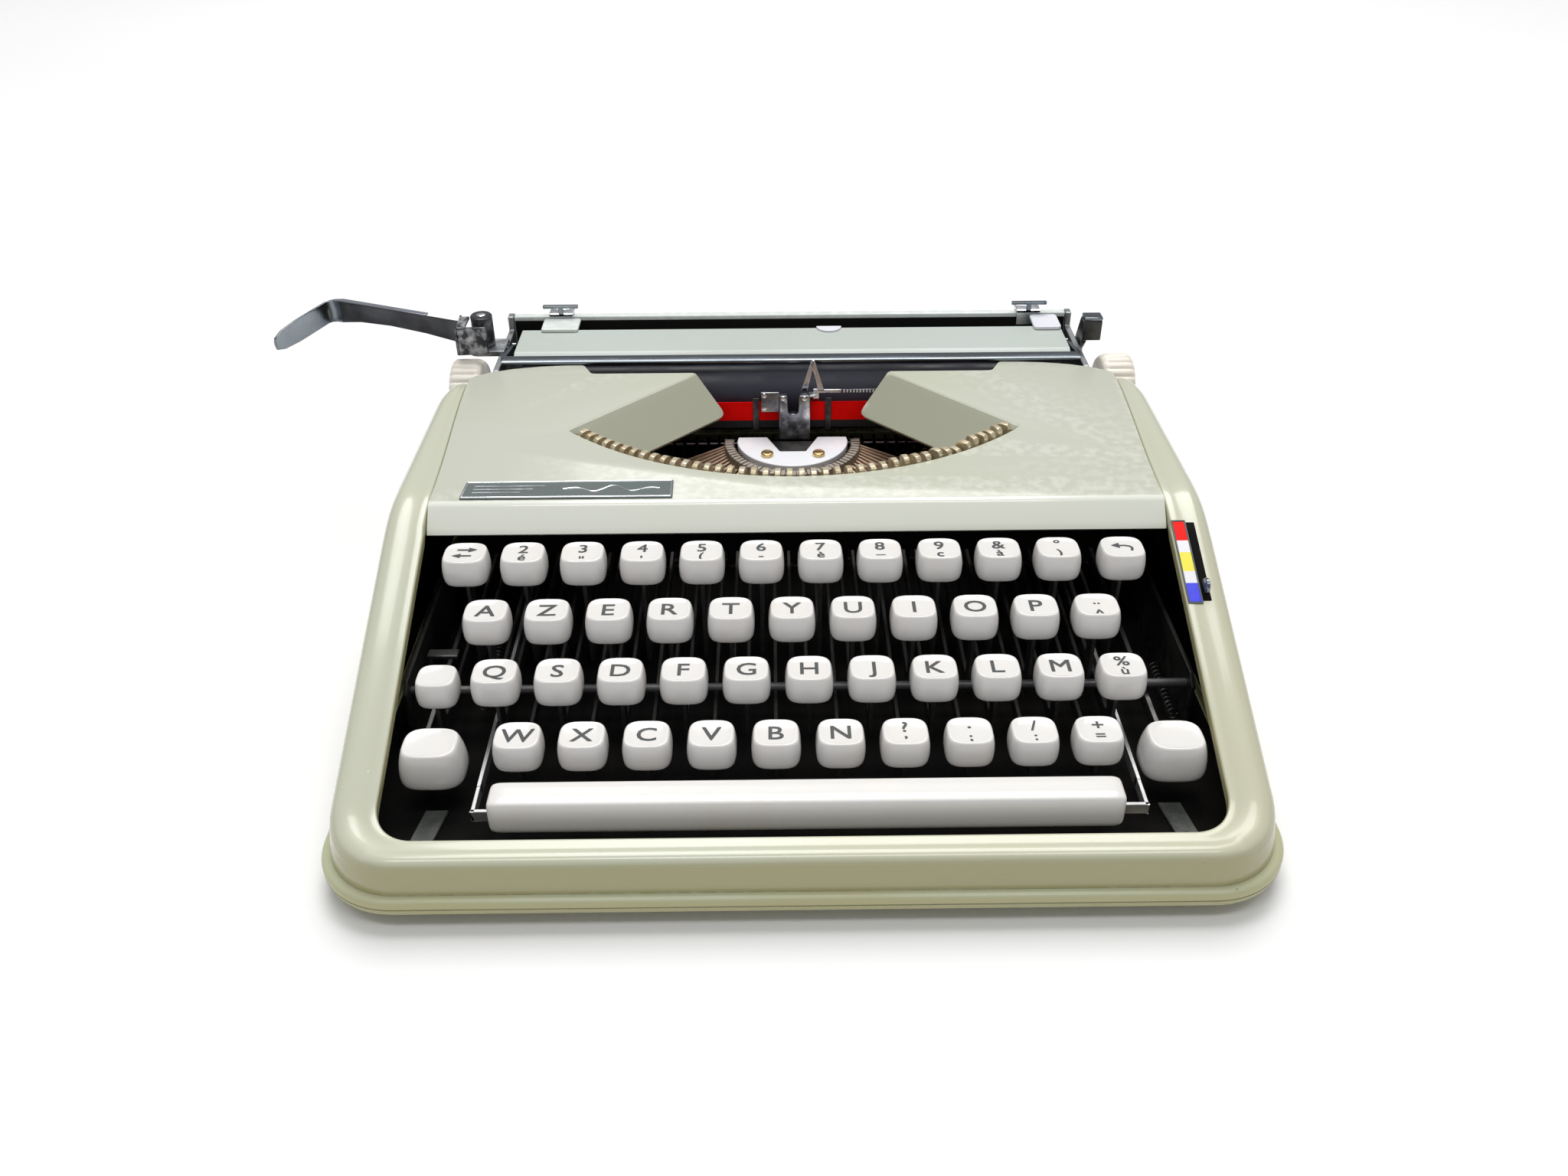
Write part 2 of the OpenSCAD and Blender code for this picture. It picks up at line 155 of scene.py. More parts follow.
def makeScratchGroup():
    # hairline handling marks in two directions
    group, gIn, gOut = newGroup(
        "hairlineMarks",
        [("Density", "NodeSocketFloat", 0.5), ("Size", "NodeSocketFloat", 1.0)],
        [("Mask", "NodeSocketFloat"), ("Height", "NodeSocketFloat")],
    )
    coords = addNode(group, "ShaderNodeTexCoord")
    layers = []
    for angle, seed in ((0.5, 3.1), (-1.1, 8.7)):
        mapping = addNode(group, "ShaderNodeMapping")
        mapping.inputs["Rotation"].default_value = (0.3, 0.2, angle)
        mapping.inputs["Scale"].default_value = (60, 1600, 1200)
        mapping.inputs["Location"].default_value = (seed, seed, 0)
        group.links.new(coords.outputs["Object"], mapping.inputs["Vector"])
        noise = addNode(group, "ShaderNodeTexNoise")
        noise.inputs["Detail"].default_value = 2
        group.links.new(mapping.outputs[0], noise.inputs["Vector"])
        group.links.new(gIn.outputs["Size"], noise.inputs["Scale"])
        layers.append(ramp(group, noise.outputs[0], 0.66, 0.74))
    patches = addNode(group, "ShaderNodeTexNoise")
    patches.inputs["Scale"].default_value = 45
    group.links.new(coords.outputs["Object"], patches.inputs["Vector"])
    both = mathNode(group, "MAXIMUM", layers[0], layers[1])
    patchy = mathNode(group, "MULTIPLY", both, ramp(group, patches.outputs[0], 0.45, 0.7))
    mask = mathNode(group, "MULTIPLY", patchy, gIn.outputs["Density"], True)
    group.links.new(mask, gOut.inputs["Mask"])
    group.links.new(mathNode(group, "MULTIPLY", mask, -1.0), gOut.inputs["Height"])
    return group


def makeEdgeGroup():
    # rubbed outer edges, broken up so that they aren't an outline
    group, gIn, gOut = newGroup(
        "rubbedEdges",
        [("Reach", "NodeSocketFloat", 0.56), ("Break", "NodeSocketFloat", 300.0)],
        [("Mask", "NodeSocketFloat")],
    )
    geometry = addNode(group, "ShaderNodeNewGeometry")
    coords = addNode(group, "ShaderNodeTexCoord")
    noise = addNode(group, "ShaderNodeTexNoise")
    noise.inputs["Detail"].default_value = 5
    group.links.new(coords.outputs["Object"], noise.inputs["Vector"])
    group.links.new(gIn.outputs["Break"], noise.inputs["Scale"])
    edge = mathNode(group, "SUBTRACT", geometry.outputs["Pointiness"], gIn.outputs["Reach"])
    sharp = mathNode(group, "MULTIPLY", edge, 14.0, True)
    broken = ramp(group, noise.outputs[0], 0.42, 0.62)
    group.links.new(mathNode(group, "MULTIPLY", sharp, broken, True), gOut.inputs["Mask"])
    return group


def makeDustGroup():
    # settled dust on what faces up, thicker in patches
    group, gIn, gOut = newGroup(
        "settledDust",
        [("Amount", "NodeSocketFloat", 0.2), ("Grain", "NodeSocketFloat", 1500.0)],
        [("Mask", "NodeSocketFloat")],
    )
    geometry = addNode(group, "ShaderNodeNewGeometry")
    axes = addNode(group, "ShaderNodeSeparateXYZ")
    group.links.new(geometry.outputs["Normal"], axes.inputs[0])
    coords = addNode(group, "ShaderNodeTexCoord")
    fine = addNode(group, "ShaderNodeTexNoise")
    fine.inputs["Detail"].default_value = 3
    group.links.new(coords.outputs["Object"], fine.inputs["Vector"])
    group.links.new(gIn.outputs["Grain"], fine.inputs["Scale"])
    broad = addNode(group, "ShaderNodeTexNoise")
    broad.inputs["Scale"].default_value = 60
    group.links.new(coords.outputs["Object"], broad.inputs["Vector"])
    upward = ramp(group, axes.outputs[2], 0.2, 0.95)
    grain = ramp(group, fine.outputs[0], 0.35, 0.75)
    patches = ramp(group, broad.outputs[0], 0.35, 0.7)
    layered = mathNode(group, "MULTIPLY", mathNode(group, "MULTIPLY", upward, grain), patches)
    group.links.new(
        mathNode(group, "MULTIPLY", layered, gIn.outputs["Amount"], True), gOut.inputs["Mask"])
    return group


def makeSkinGroup():
    # the faint orange-peel skin of a moulding or a paint coat, or the grain of rolled steel
    group, gIn, gOut = newGroup(
        "surfaceSkin",
        [("Scale", "NodeSocketFloat", 700.0), ("Stretch", "NodeSocketVector", (1.0, 1.0, 1.0))],
        [("Height", "NodeSocketFloat")],
    )
    coords = addNode(group, "ShaderNodeTexCoord")
    stretch = addNode(group, "ShaderNodeVectorMath", operation="MULTIPLY")
    group.links.new(coords.outputs["Object"], stretch.inputs[0])
    group.links.new(gIn.outputs["Stretch"], stretch.inputs[1])
    noise = addNode(group, "ShaderNodeTexNoise")
    noise.inputs["Detail"].default_value = 3
    group.links.new(stretch.outputs[0], noise.inputs["Vector"])
    group.links.new(gIn.outputs["Scale"], noise.inputs["Scale"])
    group.links.new(noise.outputs[0], gOut.inputs["Height"])
    return group


def makeWallShadeGroup():
    # 1 on upright walls, 0 on what faces up: the walls are mixed towards a darker colour, painted
    #                                         shade
    group, gIn, gOut = newGroup(
        "uprightWallShade", [("Low", "NodeSocketFloat", 0.25)], [("Mask", "NodeSocketFloat")])
    geometry = addNode(group, "ShaderNodeNewGeometry")
    axes = addNode(group, "ShaderNodeSeparateXYZ")
    group.links.new(geometry.outputs["Normal"], axes.inputs[0])
    upright = addNode(group, "ShaderNodeMapRange", clamp=True)
    upright.inputs[2].default_value = 0.8
    upright.inputs[3].default_value = 1
    upright.inputs[4].default_value = 0
    group.links.new(axes.outputs[2], upright.inputs[0])
    group.links.new(gIn.outputs["Low"], upright.inputs[1])
    group.links.new(upright.outputs[0], gOut.inputs["Mask"])
    return group


def makeSpotGroup():
    # small spots of rust or chipped gloss, gathered round one place or strewn all over
    group, gIn, gOut = newGroup(
        "smallSpots",
        [("Scale", "NodeSocketFloat", 200.0), ("Size", "NodeSocketFloat", 0.2),
         ("Place", "NodeSocketVector", (0.0, 0.0, 0.0)), ("Reach", "NodeSocketFloat", 1.0)],
        [("Mask", "NodeSocketFloat")],
    )
    coords = addNode(group, "ShaderNodeTexCoord")
    cells = addNode(group, "ShaderNodeTexVoronoi")
    group.links.new(coords.outputs["Object"], cells.inputs["Vector"])
    group.links.new(gIn.outputs["Scale"], cells.inputs["Scale"])
    patches = addNode(group, "ShaderNodeTexNoise")
    patches.inputs["Detail"].default_value = 3
    group.links.new(coords.outputs["Object"], patches.inputs["Vector"])
    group.links.new(
        mathNode(group, "MULTIPLY", gIn.outputs["Scale"], 0.35), patches.inputs["Scale"])
    limit = mathNode(
        group, "MULTIPLY", gIn.outputs["Size"], ramp(group, patches.outputs[0], 0.52, 0.70))
    inside = mathNode(
        group, "MULTIPLY", mathNode(group, "SUBTRACT", limit, cells.outputs["Distance"]), 16.0,
        True)
    gap = addNode(group, "ShaderNodeVectorMath", operation="DISTANCE")
    group.links.new(coords.outputs["Object"], gap.inputs[0])
    group.links.new(gIn.outputs["Place"], gap.inputs[1])
    near = mathNode(
        group, "SUBTRACT", 1.0,
        mathNode(group, "DIVIDE", gap.outputs["Value"], gIn.outputs["Reach"]), True)
    closeBy = mathNode(group, "MULTIPLY", near, 3.0, True)
    group.links.new(mathNode(group, "MULTIPLY", inside, closeBy, True), gOut.inputs["Mask"])
    return group


ageMottle = makeMottleGroup()
uprightWallShade = makeWallShadeGroup()
smallSpots = makeSpotGroup()
hairlineMarks = makeScratchGroup()
rubbedEdges = makeEdgeGroup()
settledDust = makeDustGroup()
surfaceSkin = makeSkinGroup()

finishDefaults = {
    "color": (0.5, 0.5, 0.5),
    "tint": None,
    "tintScale": 20.0,
    "tintSpread": (0.4, 0.65),
    "sideTint": None,
    "spots": None,
    "spotPlace": (0.0, 0.0, 0.0),
    "spotReach": 1.0,
    "spotSize": 0.2,
    "spotScale": 200.0,
    "roughness": (0.3, 0.4),
    "metallic": 0.0,
    "coat": 0.0,
    "wear": None,
    "wearReach": 0.56,
    "scratch": 0.3,
    "scratchColor": None,
    "dust": 0.1,
    "dustColor": (0.5, 0.48, 0.43),
    "skin": 0.02,
    "skinScale": 700.0,
    "skinStretch": (1.0, 1.0, 1.0),
    "subsurface": 0.0,
    "specular": 0.5,
}


def makeFinish(name, **changes):
    s = {**finishDefaults, **changes}
    material = bpy.data.materials.new(name)
    material.use_nodes = True
    tree = material.node_tree
    shader = tree.nodes["Principled BSDF"]

    def place(group, **values):
        node = addNode(tree, "ShaderNodeGroup", node_tree=group)
        for key, value in values.items():
            node.inputs[key].default_value = value
        return node

    tint = s["tint"] or tuple(c * 0.88 for c in s["color"])
    mottle = place(ageMottle, Scale=s["tintScale"], Low=s["tintSpread"][0], High=s["tintSpread"][1])
    color = mixColor(tree, mottle.outputs[0], s["color"], tint)
    # painted shade: upright walls are mixed towards a darker colour
    if s["sideTint"]:
        color = mixColor(tree, place(uprightWallShade).outputs[0], color, s["sideTint"])
    edges = place(rubbedEdges, Reach=s["wearReach"])
    if s["wear"]:
        color = mixColor(tree, edges.outputs[0], color, s["wear"])
    if s["spots"]:
        spots = place(
            smallSpots, Scale=s["spotScale"], Size=s["spotSize"], Place=s["spotPlace"],
            Reach=s["spotReach"])
        color = mixColor(tree, spots.outputs[0], color, s["spots"])
    marks = place(hairlineMarks, Density=s["scratch"])
    markColor = s["scratchColor"] or tuple(min(1, c * 1.25 + 0.03) for c in s["color"])
    color = mixColor(tree, mathNode(tree, "MULTIPLY", marks.outputs[0], 0.5), color, markColor)
    dust = place(settledDust, Amount=s["dust"])
    color = mixColor(tree, dust.outputs[0], color, s["dustColor"])
    tree.links.new(color, shader.inputs["Base Color"])

    low, high = s["roughness"]
    worn = mathNode(tree, "MAXIMUM", mottle.outputs[0], marks.outputs[0])
    rough = addNode(tree, "ShaderNodeMapRange", clamp=True)
    rough.inputs[3].default_value = low
    rough.inputs[4].default_value = high
    tree.links.new(worn, rough.inputs[0])
    dusty = mathNode(tree, "MULTIPLY", dust.outputs[0], 0.5)
    tree.links.new(mathNode(tree, "ADD", rough.outputs[0], dusty, True), shader.inputs["Roughness"])
    shader.inputs["Metallic"].default_value = s["metallic"]
    shader.inputs["Coat Weight"].default_value = s["coat"]
    shader.inputs["Coat Roughness"].default_value = 0.08
    shader.inputs["Specular IOR Level"].default_value = s["specular"]
    if s["subsurface"]:
        shader.inputs["Subsurface Weight"].default_value = s["subsurface"]
        shader.inputs["Subsurface Radius"].default_value = (0.002, 0.0015, 0.001)

    skin = place(surfaceSkin, Scale=s["skinScale"], Stretch=s["skinStretch"])
    height = mathNode(
        tree, "ADD", skin.outputs[0], mathNode(tree, "MULTIPLY", marks.outputs[1], 0.3))
    bump = addNode(tree, "ShaderNodeBump")
    bump.inputs["Strength"].default_value = 1.0
    bump.inputs["Distance"].default_value = s["skin"] * mm
    tree.links.new(height, bump.inputs["Height"])
    tree.links.new(bump.outputs[0], shader.inputs["Normal"])
    return material


# the case's upright walls take a darker colour: painted shade
casePlastic = makeFinish(
    "agedCasePlastic",
    color=(0.545, 0.562, 0.445), tint=(0.540, 0.532, 0.390), tintScale=9.0,
    sideTint=(0.400, 0.380, 0.195),
    roughness=(0.20, 0.30), coat=0.5, wear=(0.66, 0.66, 0.56), scratch=0.06, dust=0.02, skin=0.006,
    spots=(0.80, 0.80, 0.74), spotPlace=(-0.1290, -0.1130, 0.030), spotReach=0.011, spotSize=0.30,
    spotScale=900.0,
)
coverPlastic = makeFinish(
    "agedCoverPlastic",
    color=(0.530, 0.550, 0.465), tint=(0.525, 0.535, 0.425), tintScale=8.0,
    roughness=(0.30, 0.33), coat=0.2, wear=(0.62, 0.63, 0.55), scratch=0.04, dust=0.01, skin=0.004,
)
# painted shade: the guards are a darker copy of the cover plastic, standing in for the shade they
# sit in
guardShadePlastic = makeFinish(
    "shadedGuardPlastic",
    color=(0.395, 0.405, 0.315), tint=(0.375, 0.380, 0.285), tintScale=8.0,
    roughness=(0.30, 0.36), coat=0.1, wear=(0.60, 0.61, 0.52), scratch=0.04, dust=0.01, skin=0.004,
)
# painted sheen: the lip is a lighter, glossier copy of the cover plastic, standing in for its
# reflection
lipSheenPlastic = makeFinish(
    "paintedSheenLipPlastic",
    color=(0.800, 0.820, 0.735), tint=(0.760, 0.780, 0.680), tintScale=5.0,
    roughness=(0.16, 0.22), coat=0.6, wear=(0.85, 0.86, 0.78), scratch=0.2, dust=0.01, skin=0.015,
)
# the tray ledge's upright faces take a darker colour: painted shade
trayPlastic = makeFinish(
    "agedTrayPlastic",
    color=(0.500, 0.520, 0.350), tint=(0.480, 0.470, 0.285), tintScale=12.0,
    sideTint=(0.470, 0.450, 0.240),
    roughness=(0.28, 0.40), coat=0.1, wear=(0.50, 0.40, 0.24), wearReach=0.60, scratch=0.1,
    dust=0.05,
    spots=(0.36, 0.17, 0.05), spotSize=0.16, spotScale=190.0,
)
keyPlastic = makeFinish(
    "glossKeyPlastic",
    color=(0.780, 0.765, 0.745), tint=(0.770, 0.735, 0.695), tintScale=70.0, tintSpread=(0.5, 0.75),
    roughness=(0.13, 0.24), coat=0.3, scratch=0.15, dust=0.02, skin=0.012, subsurface=0.06,
)
legendInk = makeFinish(
    "legendInk", color=(0.028, 0.034, 0.036), tint=(0.05, 0.055, 0.055), roughness=(0.4, 0.6),
    scratch=0.2, dust=0.0, skin=0.005,
)
leverSteel = makeFinish(
    "leverSteel", color=(0.13, 0.13, 0.13), tint=(0.07, 0.068, 0.064), tintScale=120.0,
    metallic=0.85, roughness=(0.32, 0.5), scratch=0.6, dust=0.15, skin=0.03, skinStretch=(8, 1, 8),
)
blackSteel = makeFinish(
    "blackenedSteel", color=(0.018, 0.018, 0.019), tint=(0.032, 0.030, 0.028), tintScale=60.0,
    metallic=0.3, roughness=(0.35, 0.6), wear=(0.22, 0.21, 0.2), scratch=0.4, dust=0.2,
    dustColor=(0.12, 0.11, 0.1),
)
# black felt where the part is felt; the same black is laid inside the case wall, in the selector
# slot, behind the keyboard and in front of the rear rail as painted shade
feltAndShade = makeFinish(
    "blackFeltAndShade", color=(0.006, 0.006, 0.006), tint=(0.010, 0.009, 0.008), roughness=(0.85, 0.98),
    scratch=0.0, dust=0.25, dustColor=(0.03, 0.028, 0.026), skin=0.25, skinScale=1600.0,
    specular=0.1,
)
brightSteel = makeFinish(
    "brightSteel", color=(0.80, 0.81, 0.84), tint=(0.70, 0.71, 0.75), tintScale=90.0,
    metallic=1.0, roughness=(0.16, 0.32), scratch=0.5, dust=0.04, skin=0.02,
    skinStretch=(1, 10, 10),
)
leverChrome = makeFinish(
    "leverChrome", color=(0.25, 0.28, 0.30), tint=(0.16, 0.18, 0.21), tintScale=34.0,
    metallic=1.0, roughness=(0.12, 0.22), scratch=0.6, scratchColor=(0.8, 0.8, 0.82), dust=0.05,
    skin=0.008,
)
darkSteel = makeFinish(
    "darkSteel", color=(0.12, 0.125, 0.14), tint=(0.06, 0.06, 0.07), tintScale=80.0,
    metallic=0.9, roughness=(0.25, 0.42), wear=(0.45, 0.45, 0.46), scratch=0.5, dust=0.08,
)
carriagePaint = makeFinish(
    "carriagePaint", color=(0.560, 0.635, 0.590), tint=(0.540, 0.600, 0.545), tintScale=14.0,
    roughness=(0.30, 0.42), coat=0.15, wear=(0.70, 0.73, 0.70), scratch=0.3, dust=0.1, skin=0.03,
)
platenRubber = makeFinish(
    "platenRubber", color=(0.014, 0.017, 0.032), tint=(0.028, 0.032, 0.050), tintScale=50.0,
    roughness=(0.38, 0.6), scratch=0.35, scratchColor=(0.08, 0.09, 0.12), dust=0.12,
    dustColor=(0.10, 0.11, 0.13), skin=0.04, skinScale=1200.0,
)
knobPlastic = makeFinish(
    "creamKnobPlastic", color=(0.86, 0.82, 0.74), tint=(0.84, 0.78, 0.68), tintScale=45.0,
    roughness=(0.25, 0.4), scratch=0.2, dust=0.08, skin=0.02, subsurface=0.05,
)
typeMetal = makeFinish(
    "typeMetal", color=(0.80, 0.70, 0.48), tint=(0.46, 0.36, 0.22), tintScale=260.0,
    metallic=0.75, roughness=(0.28, 0.5), wear=(0.95, 0.90, 0.74), wearReach=0.52, scratch=0.4,
    dust=0.1,
)
copperBar = makeFinish(
    "copperBar", color=(0.62, 0.44, 0.31), tint=(0.40, 0.27, 0.18), tintScale=90.0,
    metallic=0.45, roughness=(0.28, 0.45), wear=(0.75, 0.60, 0.45), scratch=0.5, dust=0.06,
)
brassScrew = makeFinish(
    "brassScrew", color=(0.78, 0.58, 0.26), tint=(0.55, 0.38, 0.16), tintScale=200.0,
    metallic=1.0, roughness=(0.2, 0.38), scratch=0.5, dust=0.05,
)
# the ribbon is red; its red is pushed to full strength to make up for the shade under the cover:
# painted light
ribbonRed = makeFinish(
    "ribbonRed", color=(1.0, 0.004, 0.002), tint=(0.92, 0.003, 0.002), tintScale=150.0,
    specular=0.1, roughness=(0.8, 0.95), scratch=0.0, dust=0.0, skin=0.06, skinScale=4000.0,
)
ribbonBlack = makeFinish(
    "ribbonBlack", color=(0.012, 0.011, 0.012), roughness=(0.5, 0.7), scratch=0.0, dust=0.05,
    skin=0.06, skinScale=4000.0,
)
footRubber = makeFinish(
    "footRubber", color=(0.05, 0.05, 0.048), roughness=(0.6, 0.8), scratch=0.1, dust=0.3, skin=0.08,
)
padFelt = makeFinish(
    "creamFelt", color=(0.60, 0.56, 0.47), tint=(0.45, 0.38, 0.28), roughness=(0.8, 0.95),
    scratch=0.0, dust=0.2, skin=0.3, skinScale=1500.0,
)
badgeMetal = makeFinish(
    "badgeMetal", color=(0.115, 0.145, 0.140), tint=(0.095, 0.115, 0.110), tintScale=60.0,
    metallic=0.0, roughness=(0.25, 0.4), scratch=0.4, dust=0.05,
)
whitePlastic = makeFinish(
    "whiteGuidePlastic", color=(0.80, 0.80, 0.86), tint=(0.74, 0.74, 0.80), roughness=(0.2, 0.3),
    scratch=0.2, dust=0.05, skin=0.01, subsurface=0.1,
)
labelRed = makeFinish(
    "labelRed", specular=0.1, color=(0.90, 0.004, 0.002), roughness=(0.25, 0.35), scratch=0.3,
    dust=0.03)
labelWhite = makeFinish(
    "labelWhite", color=(0.82, 0.82, 0.86), roughness=(0.25, 0.35), scratch=0.3, dust=0.03)
labelYellow = makeFinish(
    "labelYellow", color=(0.83, 0.73, 0.010), tint=(0.86, 0.80, 0.30), tintScale=350.0,
    tintSpread=(0.62, 0.66),
    roughness=(0.25, 0.35), scratch=0.5, dust=0.03,
)
labelBlue = makeFinish(
    "labelBlue", color=(0.004, 0.012, 0.78), roughness=(0.25, 0.35), scratch=0.3, dust=0.03)
print("stage: finishes made")

# mesh helpers


# vertices and faces gathered for one piece, in millimetres
class Shape:
    def __init__(self):
        self.verts, self.faces, self.tones = [], [], []

    def add(self, verts, faces, tone=0):
        start = len(self.verts)
        self.verts += [tuple(v) for v in verts]
        self.faces += [tuple(i + start for i in f) for f in faces]
        self.tones += [tone] * len(faces)
        return self


def grid(rows, closeAcross=False, closeAlong=False):
    # quads between rows of equal length
    count = len(rows[0])
    verts = [p for row in rows for p in row]
    faces = []
    for r in range(len(rows) if closeAlong else len(rows) - 1):
        nextRow = (r + 1) % len(rows)
        for c in range(count if closeAcross else count - 1):
            nextCol = (c + 1) % count
            faces.append((
                r * count + c, r * count + nextCol, nextRow * count + nextCol, nextRow * count + c))
    return verts, faces


def prism(outline, place):
    # outline points are (a, b); place(a, b, end) gives the vertex at each end
    count = len(outline)
    verts = [place(a, b, 0) for a, b in outline] + [place(a, b, 1) for a, b in outline]
    faces = [tuple(reversed(range(count))), tuple(range(count, 2 * count))]
    faces += [(i, (i + 1) % count, (i + 1) % count + count, i + count) for i in range(count)]
    return verts, faces


def prismX(outline, x0, x1):
    return prism(outline, lambda y, z, end: (x1 if end else x0, y, z))


def prismY(outline, y0, y1):
    return prism(outline, lambda x, z, end: (x, y1 if end else y0, z))


def prismZ(outline, z0, z1):
    return prism(outline, lambda x, y, end: (x, y, z1 if end else z0))


def boxShape(a, b):
    return prismZ([(a[0], a[1]), (b[0], a[1]), (b[0], b[1]), (a[0], b[1])], a[2], b[2])


def lathe(profile, axis, origin, segments=48):
    # profile is (radius, distance along the axis)
    rows = []
    for k in range(segments):
        angle = 2 * math.pi * k / segments
        row = []
        for radius, along in profile:
            a, b = radius * math.cos(angle), radius * math.sin(angle)
            p = {"x": (along, a, b), "y": (b, along, a), "z": (a, b, along)}[axis]
            row.append((origin[0] + p[0], origin[1] + p[1], origin[2] + p[2]))
        rows.append(row)
    verts, faces = grid(rows, closeAlong=True)
    count = len(profile)
    if profile[0][0] > 1e-6 and profile[0] != profile[-1]:
        faces.append(tuple(k * count for k in range(segments)))
        faces.append(tuple(k * count + count - 1 for k in reversed(range(segments))))
    return verts, faces


def tube(points, radius, segments=12):
    # round rod along a polyline, with closed ends
    points = [Vector(p) for p in points]
    rows = []
    side = None
    for i, p in enumerate(points):
        ahead = points[min(i + 1, len(points) - 1)] - points[max(i - 1, 0)]
        ahead.normalize()
        if side is None:
            side = ahead.orthogonal().normalized()
        side = (side - ahead * side.dot(ahead)).normalized()
        other = ahead.cross(side)
        rows.append([
            tuple(p + radius * (math.cos(a) * side + math.sin(a) * other))
            for a in (2 * math.pi * k / segments for k in range(segments))
        ])
    verts, faces = grid(rows, closeAcross=True)
    faces.append(tuple(reversed(range(segments))))
    faces.append(tuple(range(len(verts) - segments, len(verts))))
    return verts, faces


def roundedOutline(points, radii, steps=5):
    # polygon with each corner turned into an arc; a radius may be given for each corner
    result = []
    count = len(points)
    if not isinstance(radii, (list, tuple)):
        radii = [radii] * count
    for i in range(count):
        here = Vector(points[i])
        before = Vector(points[i - 1]) - here
        after = Vector(points[(i + 1) % count]) - here
        angle = before.angle(after)
        if radii[i] < 1e-6 or angle > math.pi - 0.01:
            result.append(tuple(here))
            continue
        reach = min(radii[i] / math.tan(angle / 2), before.length * 0.49, after.length * 0.49)
        radius = reach * math.tan(angle / 2)
        center = here + (
            before.normalized() + after.normalized()).normalized() * (radius / math.sin(angle / 2))
        first = here + before.normalized() * reach - center
        last = here + after.normalized() * reach - center
        sweep = math.atan2(first.x * last.y - first.y * last.x, first.dot(last))
        for k in range(steps + 1):
            turn = Matrix.Rotation(sweep * k / steps, 2)
            result.append(tuple(center + turn @ first))
    return result


def addPiece(name, shape, material, body, slotName, bevel=0.0, angle=35, segments=2, subdivide=0):
    if not isinstance(shape, Shape):
        shape = Shape().add(*shape)
    mesh = bpy.data.meshes.new(name)
    mesh.from_pydata([Vector(v) * mm for v in shape.verts], [], shape.faces)
    materials = material if isinstance(material, (list, tuple)) else [material]
    for m in materials:
        mesh.materials.append(m)
    for polygon, tone in zip(mesh.polygons, shape.tones):
        polygon.material_index = tone
    work = bmesh.new()
    work.from_mesh(mesh)
    bmesh.ops.remove_doubles(work, verts=work.verts, dist=1e-6)
    bmesh.ops.recalc_face_normals(work, faces=work.faces)
    work.to_mesh(mesh)
    work.free()
    mesh.shade_smooth()
    mesh.set_sharp_from_angle(angle=math.radians(angle))
    piece = bpy.data.objects.new(name, mesh)
    scene.collection.objects.link(piece)
    if bevel:
        rounding = piece.modifiers.new("roundedEdges", "BEVEL")
        rounding.width = bevel * mm
        rounding.segments = segments
        rounding.limit_method = "ANGLE"
        rounding.angle_limit = math.radians(angle)
        rounding.harden_normals = False
        rounding.miter_outer = "MITER_ARC"
    if subdivide:
        smooth = piece.modifiers.new("smoothSurface", "SUBSURF")
        smooth.levels = subdivide
        smooth.render_levels = subdivide
    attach(piece, body)
    return piece


def piecesOn(body, slotName):
    # addPiece with its body already chosen
    def add(name, shape, material, **shaping):
        return addPiece(name, shape, material, body, slotName, **shaping)
    return add


addCasePiece = piecesOn("case", "case_plastic")
addTrayPiece = piecesOn("case", "base_plastic")
addCoverPiece = piecesOn("case", "cover_plastic")
addChassisPiece = piecesOn("case", "chassis_steel")
addTypePiece = piecesOn("case", "type_brass")
addCarriagePiece = piecesOn("carriage", "carriage_paint")
addPlatenPiece = piecesOn("platen", "platen_rubber")
addLeverPiece = piecesOn("return_lever", "lever_chrome")
addBailPiece = piecesOn("paper_bail", "bail_chrome")
addReleasePiece = piecesOn("carriage_release", "release_plastic")
addShiftPiece = piecesOn("shift_keys", "key_plastic")
addSpacePiece = piecesOn("space_bar", "key_plastic")


def softStep(t):
    t = max(0.0, min(1.0, t))
    return t * t * (3 - 2 * t)


# case

caseSettings = {
    "halfWidth": 136.6, "halfDepth": 138.4, "corner": 23.0, "bottom": 11.0,
    "wellHalf": 121.4, "wellFront": -128.0, "wellCorner": 12.0,
    "frontTop": 22.2, "flatTop": 66.0, "slope": 0.41, "bendFront": -124.0,
    "shoulder": 4.6, "innerEdge": 0.9, "lip": 3.4, "thickness": 2.3,
    "rearEnd": 81.2, "wallLean": 1.2, "crown": 0.25, "insideColumns": 5,
}


def softRamp(t, width):
    return width * math.log1p(math.exp(max(-40.0, min(40.0, t / width)))) if t < 40 * width else t


def caseTop(y, s=caseSettings):
    # height of the case's top line at a given depth
    bendRear = s["bendFront"] + (s["flatTop"] - s["frontTop"]) / s["slope"]
    rise = softRamp(y - s["bendFront"], 2.5) - softRamp(y - bendRear, 4.0)
    drop = 4.5 * max(0.0, (y - 70) / (s["rearEnd"] - 70)) ** 2.2
    return s["frontTop"] + s["slope"] * rise - drop


def seamX(y):
    return 121.9 + 4.4 * softStep((y + 19) / 98) if y > -19 else 121.9


